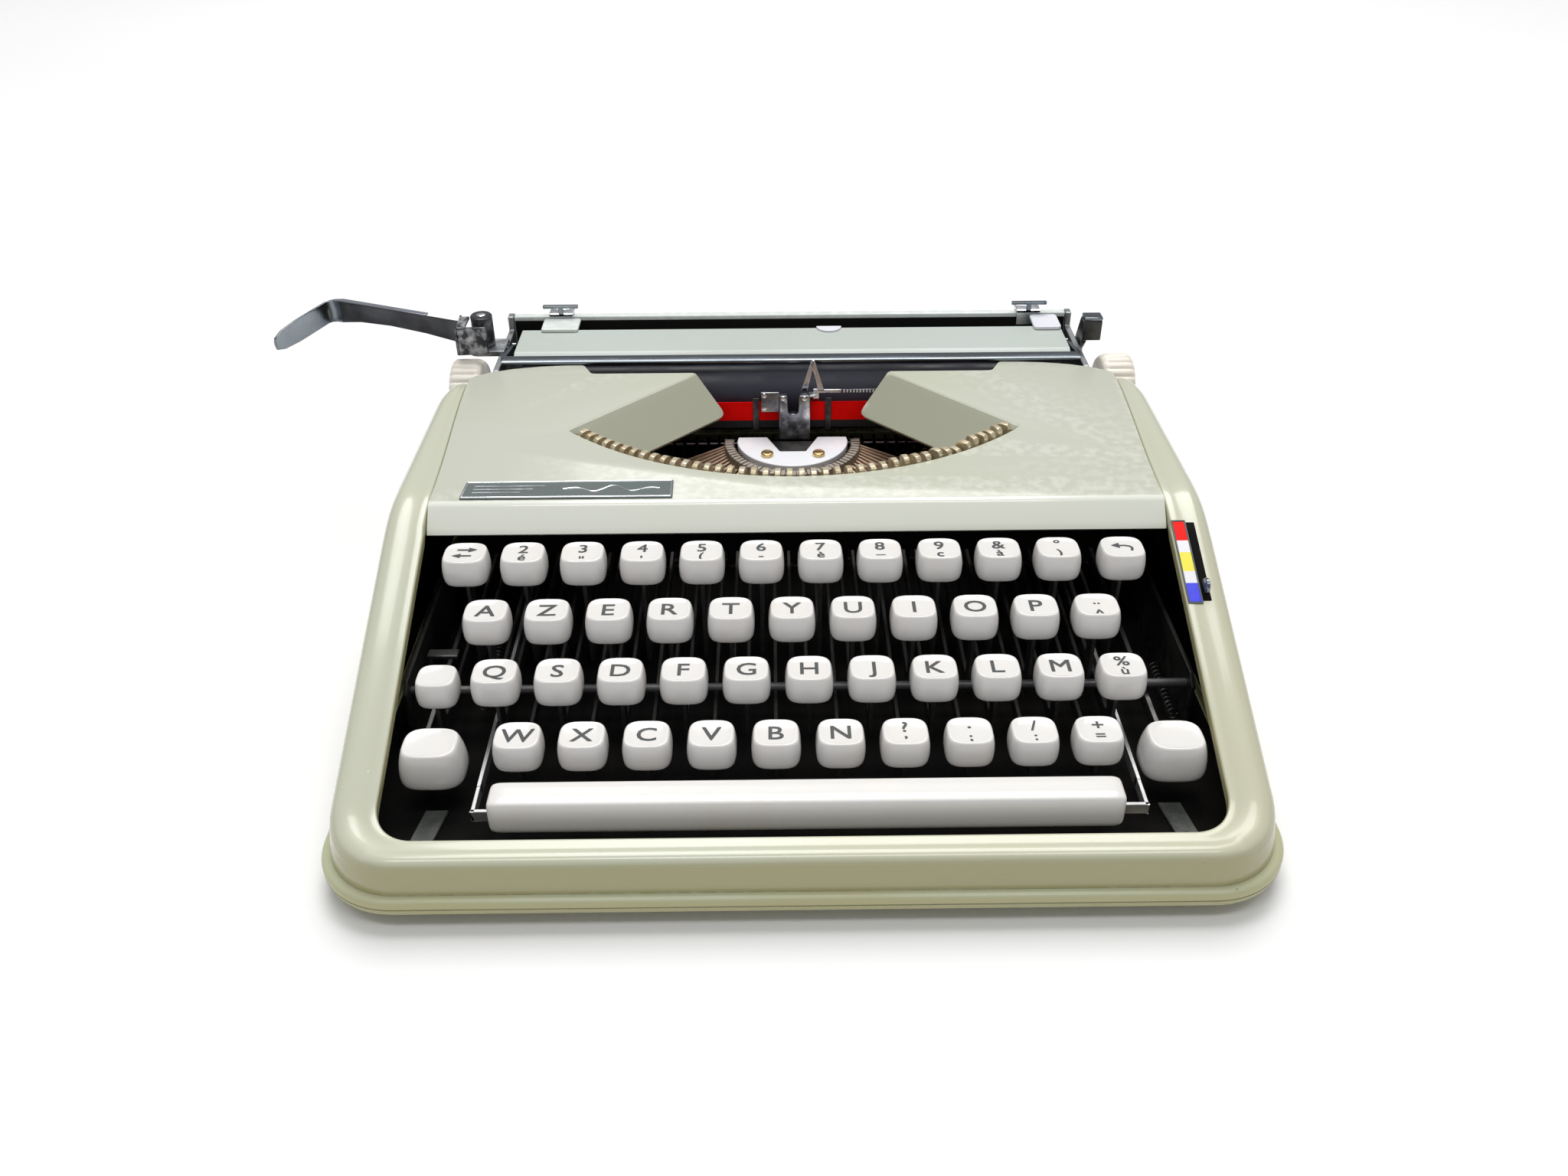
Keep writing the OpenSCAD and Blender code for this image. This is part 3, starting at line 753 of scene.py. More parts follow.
def casePaths(s=caseSettings):
    # matching points on the outer wall and on the inner edge, from rear left round to rear right
    r, rw = s["corner"], s["wellCorner"]
    sideCount, arcCount, frontCount = 46, 14, 20
    yTurn = -s["halfDepth"] + r
    wellTurn = s["wellFront"] + rw
    left = []
    for k in range(sideCount):
        t = k / sideCount
        y = s["rearEnd"] + (yTurn - s["rearEnd"]) * t
        pull = 3.2 * softStep((y - 60) / 21)
        edge = seamX(y) - 0.05 if y > -26 else s["wellHalf"]
        edgeY = s["rearEnd"] + (wellTurn - s["rearEnd"]) * t
        left.append(((-s["halfWidth"] + pull, y), (-edge, edgeY)))
    for k in range(arcCount + 1):
        a = math.pi + math.pi / 2 * k / arcCount
        left.append((
            (-s["halfWidth"] + r + r * math.cos(a), yTurn + r * math.sin(a)),
            (-s["wellHalf"] + rw + rw * math.cos(a), wellTurn + rw * math.sin(a)),
        ))
    front = []
    for k in range(1, frontCount):
        t = k / frontCount
        front.append((
            ((2 * t - 1) * (s["halfWidth"] - r), -s["halfDepth"]),
            ((2 * t - 1) * (s["wellHalf"] - rw), s["wellFront"]),
        ))
    right = [((-a[0], a[1]), (-b[0], b[1])) for a, b in reversed(left)]
    return left + front + right


def buildCase(s=caseSettings):
    rows = []
    for outer, inner in casePaths():
        po, pi = Vector(outer), Vector(inner)
        across = pi - po
        width = across.length
        across.normalize()

        def point(inset, drop, across=across, po=po):
            p = po + across * inset
            return (p.x, p.y, caseTop(p.y) - drop)

        shoulder = s["shoulder"] if abs(across.y) < 0.7 else 3.6
        lean = s["wallLean"]
        section = []
        topHere = caseTop(po.y)
        wallTop = topHere - shoulder
        for k in range(5):
            t = k / 5
            q = po + across * (lean * t * t)
            section.append((q.x, q.y, s["bottom"] + (wallTop - s["bottom"]) * t))
        for k in range(9):
            a = math.pi / 2 * k / 8
            q = po + across * (lean + shoulder * (1 - math.cos(a)))
            blend = k / 8
            base = topHere * (1 - blend) + caseTop(q.y) * blend
            section.append((q.x, q.y, base - shoulder * (1 - math.sin(a))))
        for t in (0.25, 0.5, 0.75):
            start = lean + shoulder
            section.append(point(
                start + (width - s["innerEdge"] - start) * t, s["crown"] * math.sin(math.pi * t)))
        e = s["innerEdge"]
        for k in range(4):
            a = math.pi / 2 * k / 3
            section.append(point(width - e + e * math.sin(a), e * (1 - math.cos(a))))
        section.append(point(width, s["lip"]))
        section.append(point(width - 2.0, s["lip"]))
        section.append(point(width - 2.0, s["thickness"] + 0.2))
        section.append(point(lean + 3.0, s["thickness"] + 0.2))
        q = po + across * s["thickness"]
        section.append((q.x, q.y, wallTop - 1.0))
        section.append((q.x, q.y, s["bottom"]))
        rows.append(section)
    count = len(rows[0])
    verts, faces = grid(rows, closeAcross=True)
    shape = Shape()
    shape.add(verts, faces)
    # the last columns of the section are the inside of the wall, coloured black: painted shade
    for i in range(len(faces)):
        shape.tones[i] = int(i % count >= count - s["insideColumns"])
    shape.faces += [tuple(range(count)), tuple(reversed(range(len(verts) - count, len(verts))))]
    shape.tones += [0, 0]
    return addCasePiece("caseShell", shape, [casePlastic, feltAndShade], angle=50)


caseShell = buildCase()

rearSettings = {"low": 24.8, "high": 38.8, "thickness": 2.4, "raised": 112.5, "bottom": 11.0}


def buildRearWall(s=rearSettings, c=caseSettings):
    # the lower wall behind the cover, raised in the middle of the back
    hw, hd, r = c["halfWidth"] - 0.05, c["halfDepth"], c["corner"]
    path = [(hw, 81.0), (hw, 100.0)]
    path += [
        (hw - r + r * math.cos(a), hd - r + r * math.sin(a))
        for a in (math.pi / 2 * k / 14 for k in range(15))]
    path += [(s["raised"], hd), (s["raised"] - 0.3, hd), (s["raised"] - 3, hd), (0.0, hd)]
    path = path + [(-x, y) for x, y in reversed(path[:-1])]
    rows = []
    for i, p in enumerate(path):
        ahead = Vector(path[min(i + 1, len(path) - 1)]) - Vector(path[max(i - 1, 0)])
        inward = Vector((-ahead.y, ahead.x)).normalized() * s["thickness"]
        lift = 1.0 if abs(p[0]) < s["raised"] - 0.1 and p[1] > hd - 0.1 else 0.0
        top = s["low"] + (s["high"] - s["low"]) * lift
        x, y = p
        rows.append([
            (x, y, s["bottom"]), (x, y, top - 0.8), (x + inward.x * 0.3, y + inward.y * 0.3, top),
            (x + inward.x, y + inward.y, top), (x + inward.x, y + inward.y, s["bottom"]),
        ])
    verts, faces = grid(rows, closeAcross=True)
    faces += [tuple(range(5)), tuple(reversed(range(len(verts) - 5, len(verts))))]
    return addCasePiece("rearWall", (verts, faces), casePlastic, angle=40)


buildRearWall()
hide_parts("body_shell")

traySettings = {
    "halfWidth": 139.5, "halfDepth": 141.0, "corner": 25.0,
    "profile": [
        (5.5, 5.5), (1.4, 5.5), (0.5, 5.9), (0.15, 6.8), (0.0, 7.7), (0.55, 7.85), (0.55, 8.15),
        (0.0, 8.3), (0.0, 9.7), (0.25, 10.4), (0.8, 10.85), (1.5, 11.0), (5.5, 11.0), (5.5, 7.5)]}


def roundedRect(hw, hd, r, arc=12):
    points = []
    for cx, cy, start in (
            (hw - r, hd - r, 0), (-hw + r, hd - r, 90), (-hw + r, -hd + r, 180),
            (hw - r, -hd + r, 270)):
        for k in range(arc + 1):
            a = math.radians(start + 90 * k / arc)
            points.append((cx + r * math.cos(a), cy + r * math.sin(a)))
    return points


def buildTray(s=traySettings):
    rows = []
    for inset, z in s["profile"]:
        outline = roundedRect(
            s["halfWidth"] - inset, s["halfDepth"] - inset, s["corner"] - inset, 16)
        rows.append([(x, y, z) for x, y in outline])
    verts, faces = grid(rows, closeAcross=True)
    count = len(rows[0])
    faces.append(tuple(range(count)))
    faces.append(tuple(reversed(range(len(verts) - count, len(verts)))))
    return addTrayPiece("baseTray", (verts, faces), trayPlastic, angle=40)


baseTray = buildTray()
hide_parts("base_tray")

linerOutline = roundedRect(133.2, 134.8, 19, 10)
addTrayPiece("wellLiner", prismZ(linerOutline, 7.55, 8.2), feltAndShade, bevel=0.2)

footSettings = {"x": 110, "y": 100, "radius": 9.0, "hole": 2.2, "height": 5.5}


def buildFeet(s=footSettings):
    shape = Shape()
    r, h, hole = s["radius"], s["height"], s["hole"]
    profile = [
        (hole, 0.0), (r - 1.6, 0.0), (r - 0.6, 0.3), (r - 0.2, 1.0), (r, h), (hole, h), (hole, 0.0)]
    for sx in (-1, 1):
        for sy in (-1, 1):
            shape.add(*lathe(profile, "z", (sx * s["x"], sy * s["y"], 0)))
    addTrayPiece("rubberFeet", shape, footRubber, angle=40)
    screws = Shape()
    for sx in (-1, 1):
        for sy in (-1, 1):
            screws.add(*lathe(
                [(0.0, 4.2), (2.0, 4.2), (2.0, 5.4), (0.0, 5.4)], "z",
                (sx * s["x"], sy * s["y"], 0), 24))
    addTrayPiece("footScrewHeads", screws, darkSteel, bevel=0.15)


buildFeet()

padShape = Shape()
for padX in (-107, 99):
    padShape.add(*boxShape((padX - 4, -125.5, 8.2), (padX + 4, -120, 10.4)))
addTrayPiece("cornerPads", padShape, padFelt, bevel=0.8, segments=3)
print("stage: case built")

# ribbon cover

coverSettings = {
    "top": 66.0, "thickness": 2.3, "lipStart": -16.6, "arcY": 110.8, "arcRadius": 112.8,
    "tip": (82.5, 34.0), "rearInner": (38.0, 80.6),
    "foldAngle": 41.0, "foldRadius": 1.6, "guardDepth": 19.5,
}


def coverHalf(s=coverSettings):
    # the right half's outline from the lip's middle round to the opening's middle
    points = [(0.0, s["lipStart"])]
    points += [(seamX(y) - 0.35, y) for y in (s["lipStart"], -5, 10, 25, 40, 55, 66, 74)]
    points += [
        (125.6, 78.2), (123.5, 80.6), (118.0, 83.6), (110.0, 86.4), (100.0, 88.3), (90.0, 89.3)]
    points += [(84.0, 89.5), (83.0, 89.2), (82.2, 88.4), (79.2, 82.2), (78.2, 81.5), (76.6, 81.3)]
    fold = []
    (xt, yt), (xr, yr) = s["tip"], s["rearInner"]
    count = 14
    for k in range(count + 1):
        t = k / count
        fold.append((xr + (xt - xr) * t, yr + (yt - yr) * t))
    arc = []
    start = math.asin(xt / s["arcRadius"])
    for k in range(1, 25):
        a = start * (1 - k / 24)
        arc.append((s["arcRadius"] * math.sin(a), s["arcY"] - s["arcRadius"] * math.cos(a)))
    return points, fold, arc


def buildCover(s=coverSettings):
    edge, fold, arc = coverHalf()
    shape = Shape()
    for side in (1, -1):
        outline = edge + [(s["rearInner"][0] + 1.0, 81.3)] + fold + arc
        verts = [(side * x, y, s["top"]) for x, y in outline]
        face = tuple(range(len(verts)))
        shape.add(verts, [face if side > 0 else tuple(reversed(face))])
        # guard that folds down from the straight edge
        along = Vector((fold[-1][0] - fold[0][0], fold[-1][1] - fold[0][1])).normalized()
        down = Vector((-abs(along.y), -abs(along.x)))
        length = (Vector(fold[-1]) - Vector(fold[0])).length
        rows = [[(side * x, y, s["top"]) for x, y in fold]]
        steps = 5
        r = s["foldRadius"]
        for k in range(1, steps + 1):
            a = math.radians(s["foldAngle"]) * k / steps
            run, fall = r * math.sin(a), r * (1 - math.cos(a))
            rows.append([
                (side * (x + down.x * run), y + down.y * run, s["top"] - fall) for x, y in fold])
        a = math.radians(s["foldAngle"])
        run0, fall0 = r * math.sin(a), r * (1 - math.cos(a))
        depthSteps = [0.15, 0.35, 0.55, 0.72, 0.84, 0.92, 0.97, 1.0]
        for t in depthSteps:
            depth = s["guardDepth"] * t
            run = run0 + depth * math.cos(a)
            fall = fall0 + depth * math.sin(a)
            corner = 3.0
            near = s["guardDepth"] - depth
            tuck = corner - math.sqrt(max(
                0.0, corner ** 2 - (corner - near) ** 2)) if near < corner else 0.0
            lowU = -1.0 * t + tuck
            highU = length - 20.0 * t - tuck * 0.7
            row = []
            for k in range(len(fold)):
                u = lowU + (highU - lowU) * k / (len(fold) - 1)
                px = fold[0][0] + along.x * u + down.x * run
                py = fold[0][1] + along.y * u + down.y * run
                row.append((side * px, py, s["top"] - fall))
            rows.append(row)
        guardVerts, guardFaces = grid(rows)
        shape.add(guardVerts, guardFaces)
        # the guard faces take the darker guard plastic: painted shade
        shape.tones[-len(guardFaces):] = [2] * len(guardFaces)
    # glossy lip along the front, given a lighter plastic than the top: painted sheen
    half = seamX(-17) - 0.35
    profile = [(s["lipStart"], s["top"])]
    for k in range(1, 7):
        a = math.radians(52) * k / 6
        profile.append((s["lipStart"] - 3.2 * math.sin(a), s["top"] - 3.2 * (1 - math.cos(a))))
    profile += [(-24.2, 60.1), (-25.6, 58.4)]
    rows = [[(x, y, z) for x in (-half, 0.0, half)] for y, z in profile]
    lipVerts, lipFaces = grid(rows)
    shape.add(lipVerts, lipFaces)
    shape.tones[-len(lipFaces):] = [3] * len(lipFaces)
    cover = addCoverPiece(
        "ribbonCover", shape, [coverPlastic, feltAndShade, guardShadePlastic, lipSheenPlastic], angle=40)
    thick = cover.modifiers.new("coverThickness", "SOLIDIFY")
    thick.thickness = s["thickness"] * mm
    thick.offset = -1
    thick.use_even_offset = True
    rounding = cover.modifiers.new("roundedEdges", "BEVEL")
    rounding.width = 0.55 * mm
    rounding.segments = 3
    rounding.limit_method = "ANGLE"
    rounding.angle_limit = math.radians(50)
    return cover


ribbonCover = buildCover()
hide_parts("ribbon_cover")

badgeSettings = {
    "corners": [(-111.8, -16.0), (-41.2, -16.1), (-41.4, -4.5), (-111.2, -4.9)],
    "bottom": 66.0, "top": 66.6,
}


def buildBadge(s=badgeSettings):
    outline = roundedOutline(s["corners"], 0.6, 3)
    addCoverPiece("badgePlate", prismZ(outline, s["bottom"], s["top"]), badgeMetal, bevel=0.15)
    frameShape = Shape()
    inset = [(-111.2, -15.4), (-41.8, -15.5), (-42.0, -5.1), (-110.6, -5.5)]
    points = [(x, y, s["top"]) for x, y in inset]
    for i in range(4):
        frameShape.add(*tube([points[i], points[(i + 1) % 4]], 0.28, 8))
    # plain raised bars in place of a name
    for k in range(3):
        y = -8.2 - 2.1 * k
        frameShape.add(*boxShape(
            (-108.0, y - 0.35, s["top"] - 0.1), (-84.0 - 4 * k, y + 0.35, s["top"] + 0.15)))
    wave = [
        (-78 + 0.9 * k, -10.4 + 2.2 * math.sin(k * 0.42) * (1 - abs(k - 18) / 22), s["top"])
        for k in range(37)]
    frameShape.add(*tube(wave, 0.35, 8))
    addCoverPiece("badgeTrim", frameShape, brightSteel, angle=40)


buildBadge()

# colour-strip label and its slot

armTilt = math.atan(caseSettings["slope"])


def armPoint(x, y, lift=0.0):
    return (x, y - lift * math.sin(armTilt), caseTop(y) + lift * math.cos(armTilt))


stripSettings = {
    "left": 122.5, "right": 126.2, "rear": -27.2, "front": -56.0, "lift": 0.14,
    "bands": [(0.0, 0.245, labelRed), (0.245, 0.395, labelWhite), (0.395, 0.63, labelYellow),
              (0.63, 0.775, labelWhite), (0.775, 1.0, labelBlue)],
}


def buildStrip(s=stripSettings):
    for index, (start, end, finish) in enumerate(s["bands"]):
        rows = []
        for k in range(5):
            t = start + (end - start) * k / 4
            y = s["rear"] + (s["front"] - s["rear"]) * t
            rows.append([armPoint(x, y, s["lift"]) for x in (s["left"], s["right"])])
        verts, faces = grid(rows)
        low = [(x, y, z - 0.5) for x, y, z in verts]
        lowVerts, lowFaces = grid([low[i * 2:i * 2 + 2] for i in range(5)])
        shape = Shape().add(verts, faces)
        shape.add(lowVerts, [tuple(reversed(f)) for f in lowFaces])
        count = len(verts)
        rim = [0, 2, 4, 6, 8, 9, 7, 5, 3, 1]
        for i in range(10):
            a, b = rim[i], rim[(i + 1) % 10]
            shape.faces.append((a, b, b + count, a + count))
            shape.tones.append(0)
        addCasePiece(f"colourBand{index + 1}", shape, finish, angle=30)
    rim = Shape()
    corners = [(s["left"] - 0.3, s["rear"] + 0.4), (s["right"] + 0.3, s["rear"] + 0.4),
               (s["right"] + 0.3, s["front"] - 0.4), (s["left"] - 0.3, s["front"] - 0.4)]
    for i in range(4):
        (xa, ya), (xb, yb) = corners[i], corners[(i + 1) % 4]
        rim.add(*tube(
            [armPoint(xa + (xb - xa) * k / 6, ya + (yb - ya) * k / 6, 0.05) for k in range(7)], 0.3,
            8))
    addCasePiece("stripFrame", rim, badgeMetal, angle=40)
    # the slot is a thin black strip on the arm: painted shade standing in for a recess
    slotShape = Shape()
    rows = []
    for k in range(9):
        y = -27.4 + (-55.6 + 27.4) * k / 8
        rows.append([armPoint(x, y, 0.06) for x in (126.9, 129.5)])
    slotShape.add(*grid(rows))
    slotPiece = addCasePiece("selectorSlot", slotShape, feltAndShade, angle=30)
    thick = slotPiece.modifiers.new("slotDepth", "SOLIDIFY")
    thick.thickness = 0.3 * mm
    thick.offset = -1


buildStrip()

selectorSettings = {"x": (127.3, 128.7), "y": -52.4, "z": 53.6, "radius": 2.6}


def buildSelector(s=selectorSettings):
    x0, x1 = s["x"]
    y, z, r = s["y"], s["z"], s["radius"]
    disc = addPiece(
        "selectorDisc",
        lathe(
            [(0.0, x0), (r - 0.3, x0), (r, x0 + 0.3), (r, x1 - 0.3), (r - 0.3, x1), (0.0, x1)], "x",
            (0, y, z), 40),
        leverChrome, "colour_selector", "bright_steel", angle=40)
    addPiece(
        "selectorStem", boxShape((x0, y - 1, 43.4), (x1, y + 1, 52)), darkSteel, "colour_selector",
        "bright_steel", bevel=0.2)
    addPiece(
        "selectorShoe", boxShape((126.8, -60, 41.6), (129.2, -45, 43.6)), darkSteel,
        "colour_selector", "bright_steel", bevel=0.4)
    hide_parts("colour_selector")


buildSelector()
print("stage: cover and badge built")

# key caps

keySettings = {
    "width": 14.7, "depth": 13.4, "height": 9.5, "power": 3.5, "dish": 0.5,
    "pitch": 19.0, "leverBottom": 17.5, "leverHeight": 4.5, "leverThick": 1.2,
    "fulcrum": (110.0, 19.5),
    "stemHalf": 3.0, "homeAside": 1.3,
}
# each ring of a cap: share of its height, and share of its plan size
capRings = [
    (0.0, 0.80), (0.02, 0.86), (0.06, 0.92), (0.14, 0.965), (0.30, 0.995), (0.5, 1.0),
    (0.68, 0.985),
    (0.82, 0.955), (0.9, 0.932), (0.945, 0.912), (0.975, 0.888), (0.993, 0.862),
]


def superellipse(a, b, power, count):
    points = []
    for k in range(count):
        t = 2 * math.pi * (k + 0.5) / count
        c, s = math.cos(t), math.sin(t)
        r = (abs(c) ** power + abs(s) ** power) ** (-1 / power)
        points.append((a * r * c, b * r * s))
    return points


def dishDepth(x, y, w, d, depth):
    # the cap's top is scooped along x and dips a little more in the middle
    u, v = x / (w * 0.44), y / (d * 0.44)
    return depth * max(0.0, 1 - 0.62 * u * u - 0.38 * v * v)


def capShape(center, w, d, h, dish, power, taper=0.0, count=56):
    x0, y0, top = center
    base = superellipse(w / 2, d / 2, power, count)
    rows = []
    for share, size in capRings:
        shrink = size * (1 - taper * share)
        rows.append([(x0 + x * shrink, y0 + y * shrink, top - h + h * share) for x, y in base])
    for size in (0.83, 0.76, 0.65, 0.5, 0.33, 0.16):
        shrink = size * (1 - taper)
        row = []
        for x, y in base:
            px, py = x * shrink, y * shrink
            row.append((
                x0 + px, y0 + py,
                top - dishDepth(px, py, w, d, dish) * softStep((0.86 - size) * 6)))
        rows.append(row)
    verts, faces = grid(rows, closeAcross=True)
    verts.append((x0, y0, top - dish))
    last = len(verts) - 1
    start = (len(rows) - 1) * count
    faces += [(start + k, start + (k + 1) % count, last) for k in range(count)]
    faces.append(tuple(reversed(range(count))))
    return verts, faces


def textOutline(letters, size, stretch):
    # lettering as flat faces about the origin, in millimetres
    curve = bpy.data.curves.new("legendCurve", "FONT")
    curve.body = letters
    curve.size = size
    curve.align_x = "CENTER"
    curve.align_y = "BOTTOM_BASELINE"
    curve.resolution_u = 3
    holder = bpy.data.objects.new("legendCurve", curve)
    scene.collection.objects.link(holder)
    bpy.context.view_layer.update()
    flat = bpy.data.meshes.new_from_object(holder.evaluated_get(
        bpy.context.evaluated_depsgraph_get()))
    work = bmesh.new()
    work.from_mesh(flat)
    bmesh.ops.dissolve_degenerate(work, edges=work.edges, dist=1e-5)
    bmesh.ops.triangulate(work, faces=work.faces)
    work.verts.index_update()
    verts = [(v.co.x * stretch, v.co.y) for v in work.verts]
    faces = [tuple(v.index for v in f.verts) for f in work.faces]
    work.free()
    bpy.data.objects.remove(holder)
    bpy.data.curves.remove(curve)
    bpy.data.meshes.remove(flat)
    xs = [x for x, y in verts]
    middle = (min(xs) + max(xs)) / 2
    return [(x - middle, y) for x, y in verts], faces


def strokeOutline(points, width):
    # one pen stroke as flat quads
    verts, faces = [], []
    for i, p in enumerate(points):
        a = Vector(points[max(i - 1, 0)])
        b = Vector(points[min(i + 1, len(points) - 1)])
        across = Vector((-(b - a).y, (b - a).x)).normalized() * width / 2
        verts += [(p[0] + across.x, p[1] + across.y), (p[0] - across.x, p[1] - across.y)]
    for i in range(len(points) - 1):
        faces.append((2 * i, 2 * i + 1, 2 * i + 3, 2 * i + 2))
    return verts, faces


def legendShape(marks, center, w, d, dish):
    # marks are (verts, faces, dx, dy); each lies just above the dished top,
    # four times a little apart, which makes its strokes heavier
    shape = Shape()
    x0, y0, top = center
    weight, lift = legendStyle["weight"], legendStyle["lift"]
    for verts, faces, dx, dy in marks:
        for ox, oy in ((-1, -1), (1, -1), (-1, 1), (1, 1)):
            upper = []
            for x, y in verts:
                px, py = x + dx + ox * weight, y + dy + oy * weight
                upper.append((x0 + px, y0 + py, top - dishDepth(px, py, w, d, dish) + lift))
            shape.add(upper, faces)
    return shape


legendStyle = {
    "size": 8.2, "stretch": 1.13, "smallSize": 5.2, "stroke": 0.62, "weight": 0.10,
    "lift": 0.045,
}
numberLegends = [
    ("2", "é"), ("3", "\""), ("4", "'"), ("5", "("), ("6", "-"), ("7", "è"), ("8", "_"), ("9", "ç"),
    ("&", "à"), ("°", ")")]
upperLegends = ["A", "Z", "E", "R", "T", "Y", "U", "I", "O", "P", ("¨", "^")]
homeLegends = ["Q", "S", "D", "F", "G", "H", "J", "K", "L", "M", ("%", "ù")]
lowerLegends = ["W", "X", "C", "V", "B", "N", ("?", ","), (".", ";"), ("/", ":"), ("+", "=")]
outlineCache = {}


def cachedOutline(letters, size, stretch):
    key = (letters, size, stretch)
    if key not in outlineCache:
        outlineCache[key] = textOutline(letters, size, stretch)
    return outlineCache[key]


def marksFor(legend, s=legendStyle):
    if isinstance(legend, str):
        verts, faces = cachedOutline(legend, s["size"], s["stretch"])
        return [(verts, faces, 0.0, -2.7)]
    upper, lower = legend
    upVerts, upFaces = cachedOutline(upper, s["smallSize"] + 0.9, s["stretch"])
    lowVerts, lowFaces = cachedOutline(lower, s["smallSize"], s["stretch"] * 0.95)
    lift = 0.1
    if upper in "¨":
        lift = -2.6
    if upper in ".":
        lift = 1.4
    drop = -4.3
    if lower in "\"'^":
        drop = -6.0
    elif lower in "-_":
        drop = -4.6 if lower == "-" else -2.6
    elif lower == ",":
        drop = -2.6
    return [(upVerts, upFaces, 0.0, lift), (lowVerts, lowFaces, 0.0, drop)]


def arrowMarks(kind, s=legendStyle):
    w = s["stroke"]
    if kind == "marginRelease":
        return [
            (*strokeOutline([(-2.6, 2.1), (3.0, 2.1)], w), 0, 0),
            ([(1.0, 3.3), (3.6, 2.1), (1.0, 0.9)], [(0, 2, 1)], 0, 0),
            (*strokeOutline([(-3.2, -1.3), (2.2, -1.3)], w), 0, 0),
            ([(-1.2, -0.1), (-3.8, -1.3), (-1.2, -2.5)], [(0, 1, 2)], 0, 0),
        ]
    bend = [(2.6, -1.9), (3.0, -0.4), (2.4, 0.6), (0.9, 1.1), (-1.0, 1.1), (-2.9, 1.1)]
    return [
        (*strokeOutline(bend, w), 0, 0),
        ([(-0.9, 2.5), (-3.4, 1.1), (-0.9, -0.3)], [(0, 1, 2)], 0, 0),
    ]


def leverShape(x, yCap, capBottom, thick, s=keySettings):
    # side outline of the lever with its upright stem, carried across by its thickness
    front = s["stemHalf"]
    yf, zf = s["fulcrum"]
    zb, zt = s["leverBottom"], s["leverBottom"] + s["leverHeight"]
    y0 = yCap - front
    outline = [(y0, zb + 1.2), (y0 + 1.2, zb), (yf - 3.0, zb)]
    for k in range(11):
        a = math.radians(-140 + 280 * k / 10)
        outline.append((yf + 3.3 * math.cos(a), zf + 3.3 * math.sin(a)))
    outline.append((yf - 3.0, zt))
    outline.append((yCap + front + 2.0, zt))
    if capBottom > zt + 1:
        outline += [
            (yCap + front + 0.6, zt + 0.6), (yCap + front, zt + 2.0),
            (yCap + front, capBottom + 1.5)]
        outline += [(y0, capBottom + 1.5)]
    else:
        outline += [(yCap + front, zt), (yCap + front, capBottom + 1.5), (y0, capBottom + 1.5)]
    return prismX(outline, x - thick / 2, x + thick / 2)


random.seed(7)


def buildKey(body, pieceName, center, leverX, marks, w=None, d=None, h=None, s=keySettings):
    w, d, h = w or s["width"], d or s["depth"], h or s["height"]
    _, y, top = center
    cap = addPiece(
        f"{pieceName}Cap", capShape(center, w, d, h, s["dish"], s["power"]), keyPlastic, body,
        "key_plastic", angle=60)
    if marks:
        addPiece(
            f"{pieceName}Legend", legendShape(marks, center, w, d, s["dish"]), legendInk, body,
            "key_plastic")
    addPiece(
        f"{pieceName}Lever", leverShape(leverX, y, top - h, s["leverThick"]), leverSteel, body,
        "key_plastic", bevel=0.15)
    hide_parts(body)


keyRows = [
    ("number", -87.8, -39.2, 60.3, numberLegends),
    ("upper", -97.3, -58.7, 51.5, upperLegends),
    ("home", -92.4, -78.1, 42.8, homeLegends),
    ("lower", -83.6, -97.5, 34.0, lowerLegends),
]


def leverPlace(rowName, firstX, index, s=keySettings):
    # the last lever of the home row stands a little to the left of its key
    aside = s["homeAside"] if rowName == "home" and index == 10 else 0
    return firstX + s["pitch"] * index - aside


def buildKeyboard(s=keySettings):
    for rowName, firstX, y, top, legends in keyRows:
        for i, legend in enumerate(legends):
            x = firstX + s["pitch"] * i
            leverX = leverPlace(rowName, firstX, i)
            buildKey(
                f"{rowName}_key_{i + 1}", f"{rowName}{i + 1}", (x, y, top), leverX,
                marksFor(legend))
    buildKey(
        "margin_release_key", "marginRelease", (-106.3, -39.2, 60.3), -106.3,
        arrowMarks("marginRelease"))
    buildKey("backspace_key", "backspace", (103.8, -39.2, 60.3), 103.8, arrowMarks("backspace"))
    buildKey("shift_lock_key", "shiftLock", (-110.4, -77.5, 40.8), -111.0, None, 12.8, 12.0, 9.0)


buildKeyboard()

shiftSettings = {
    "caps": [(-109.5, -97.5, 31.5), (110.5, -97.5, 31.5)], "size": (20.4, 17.0, 12.5),
    "levers": [-115.2, 110.5], "thick": 1.6, "dish": 0.5, "power": 3.3, "taper": 0.13,
    "pivotY": 110.0, "pivotZ": 19.5, "hub": 3.3,
    "railHalf": 3.4, "railBack": -103.0, "railFront": -127.2, "railLean": 4.0,
}


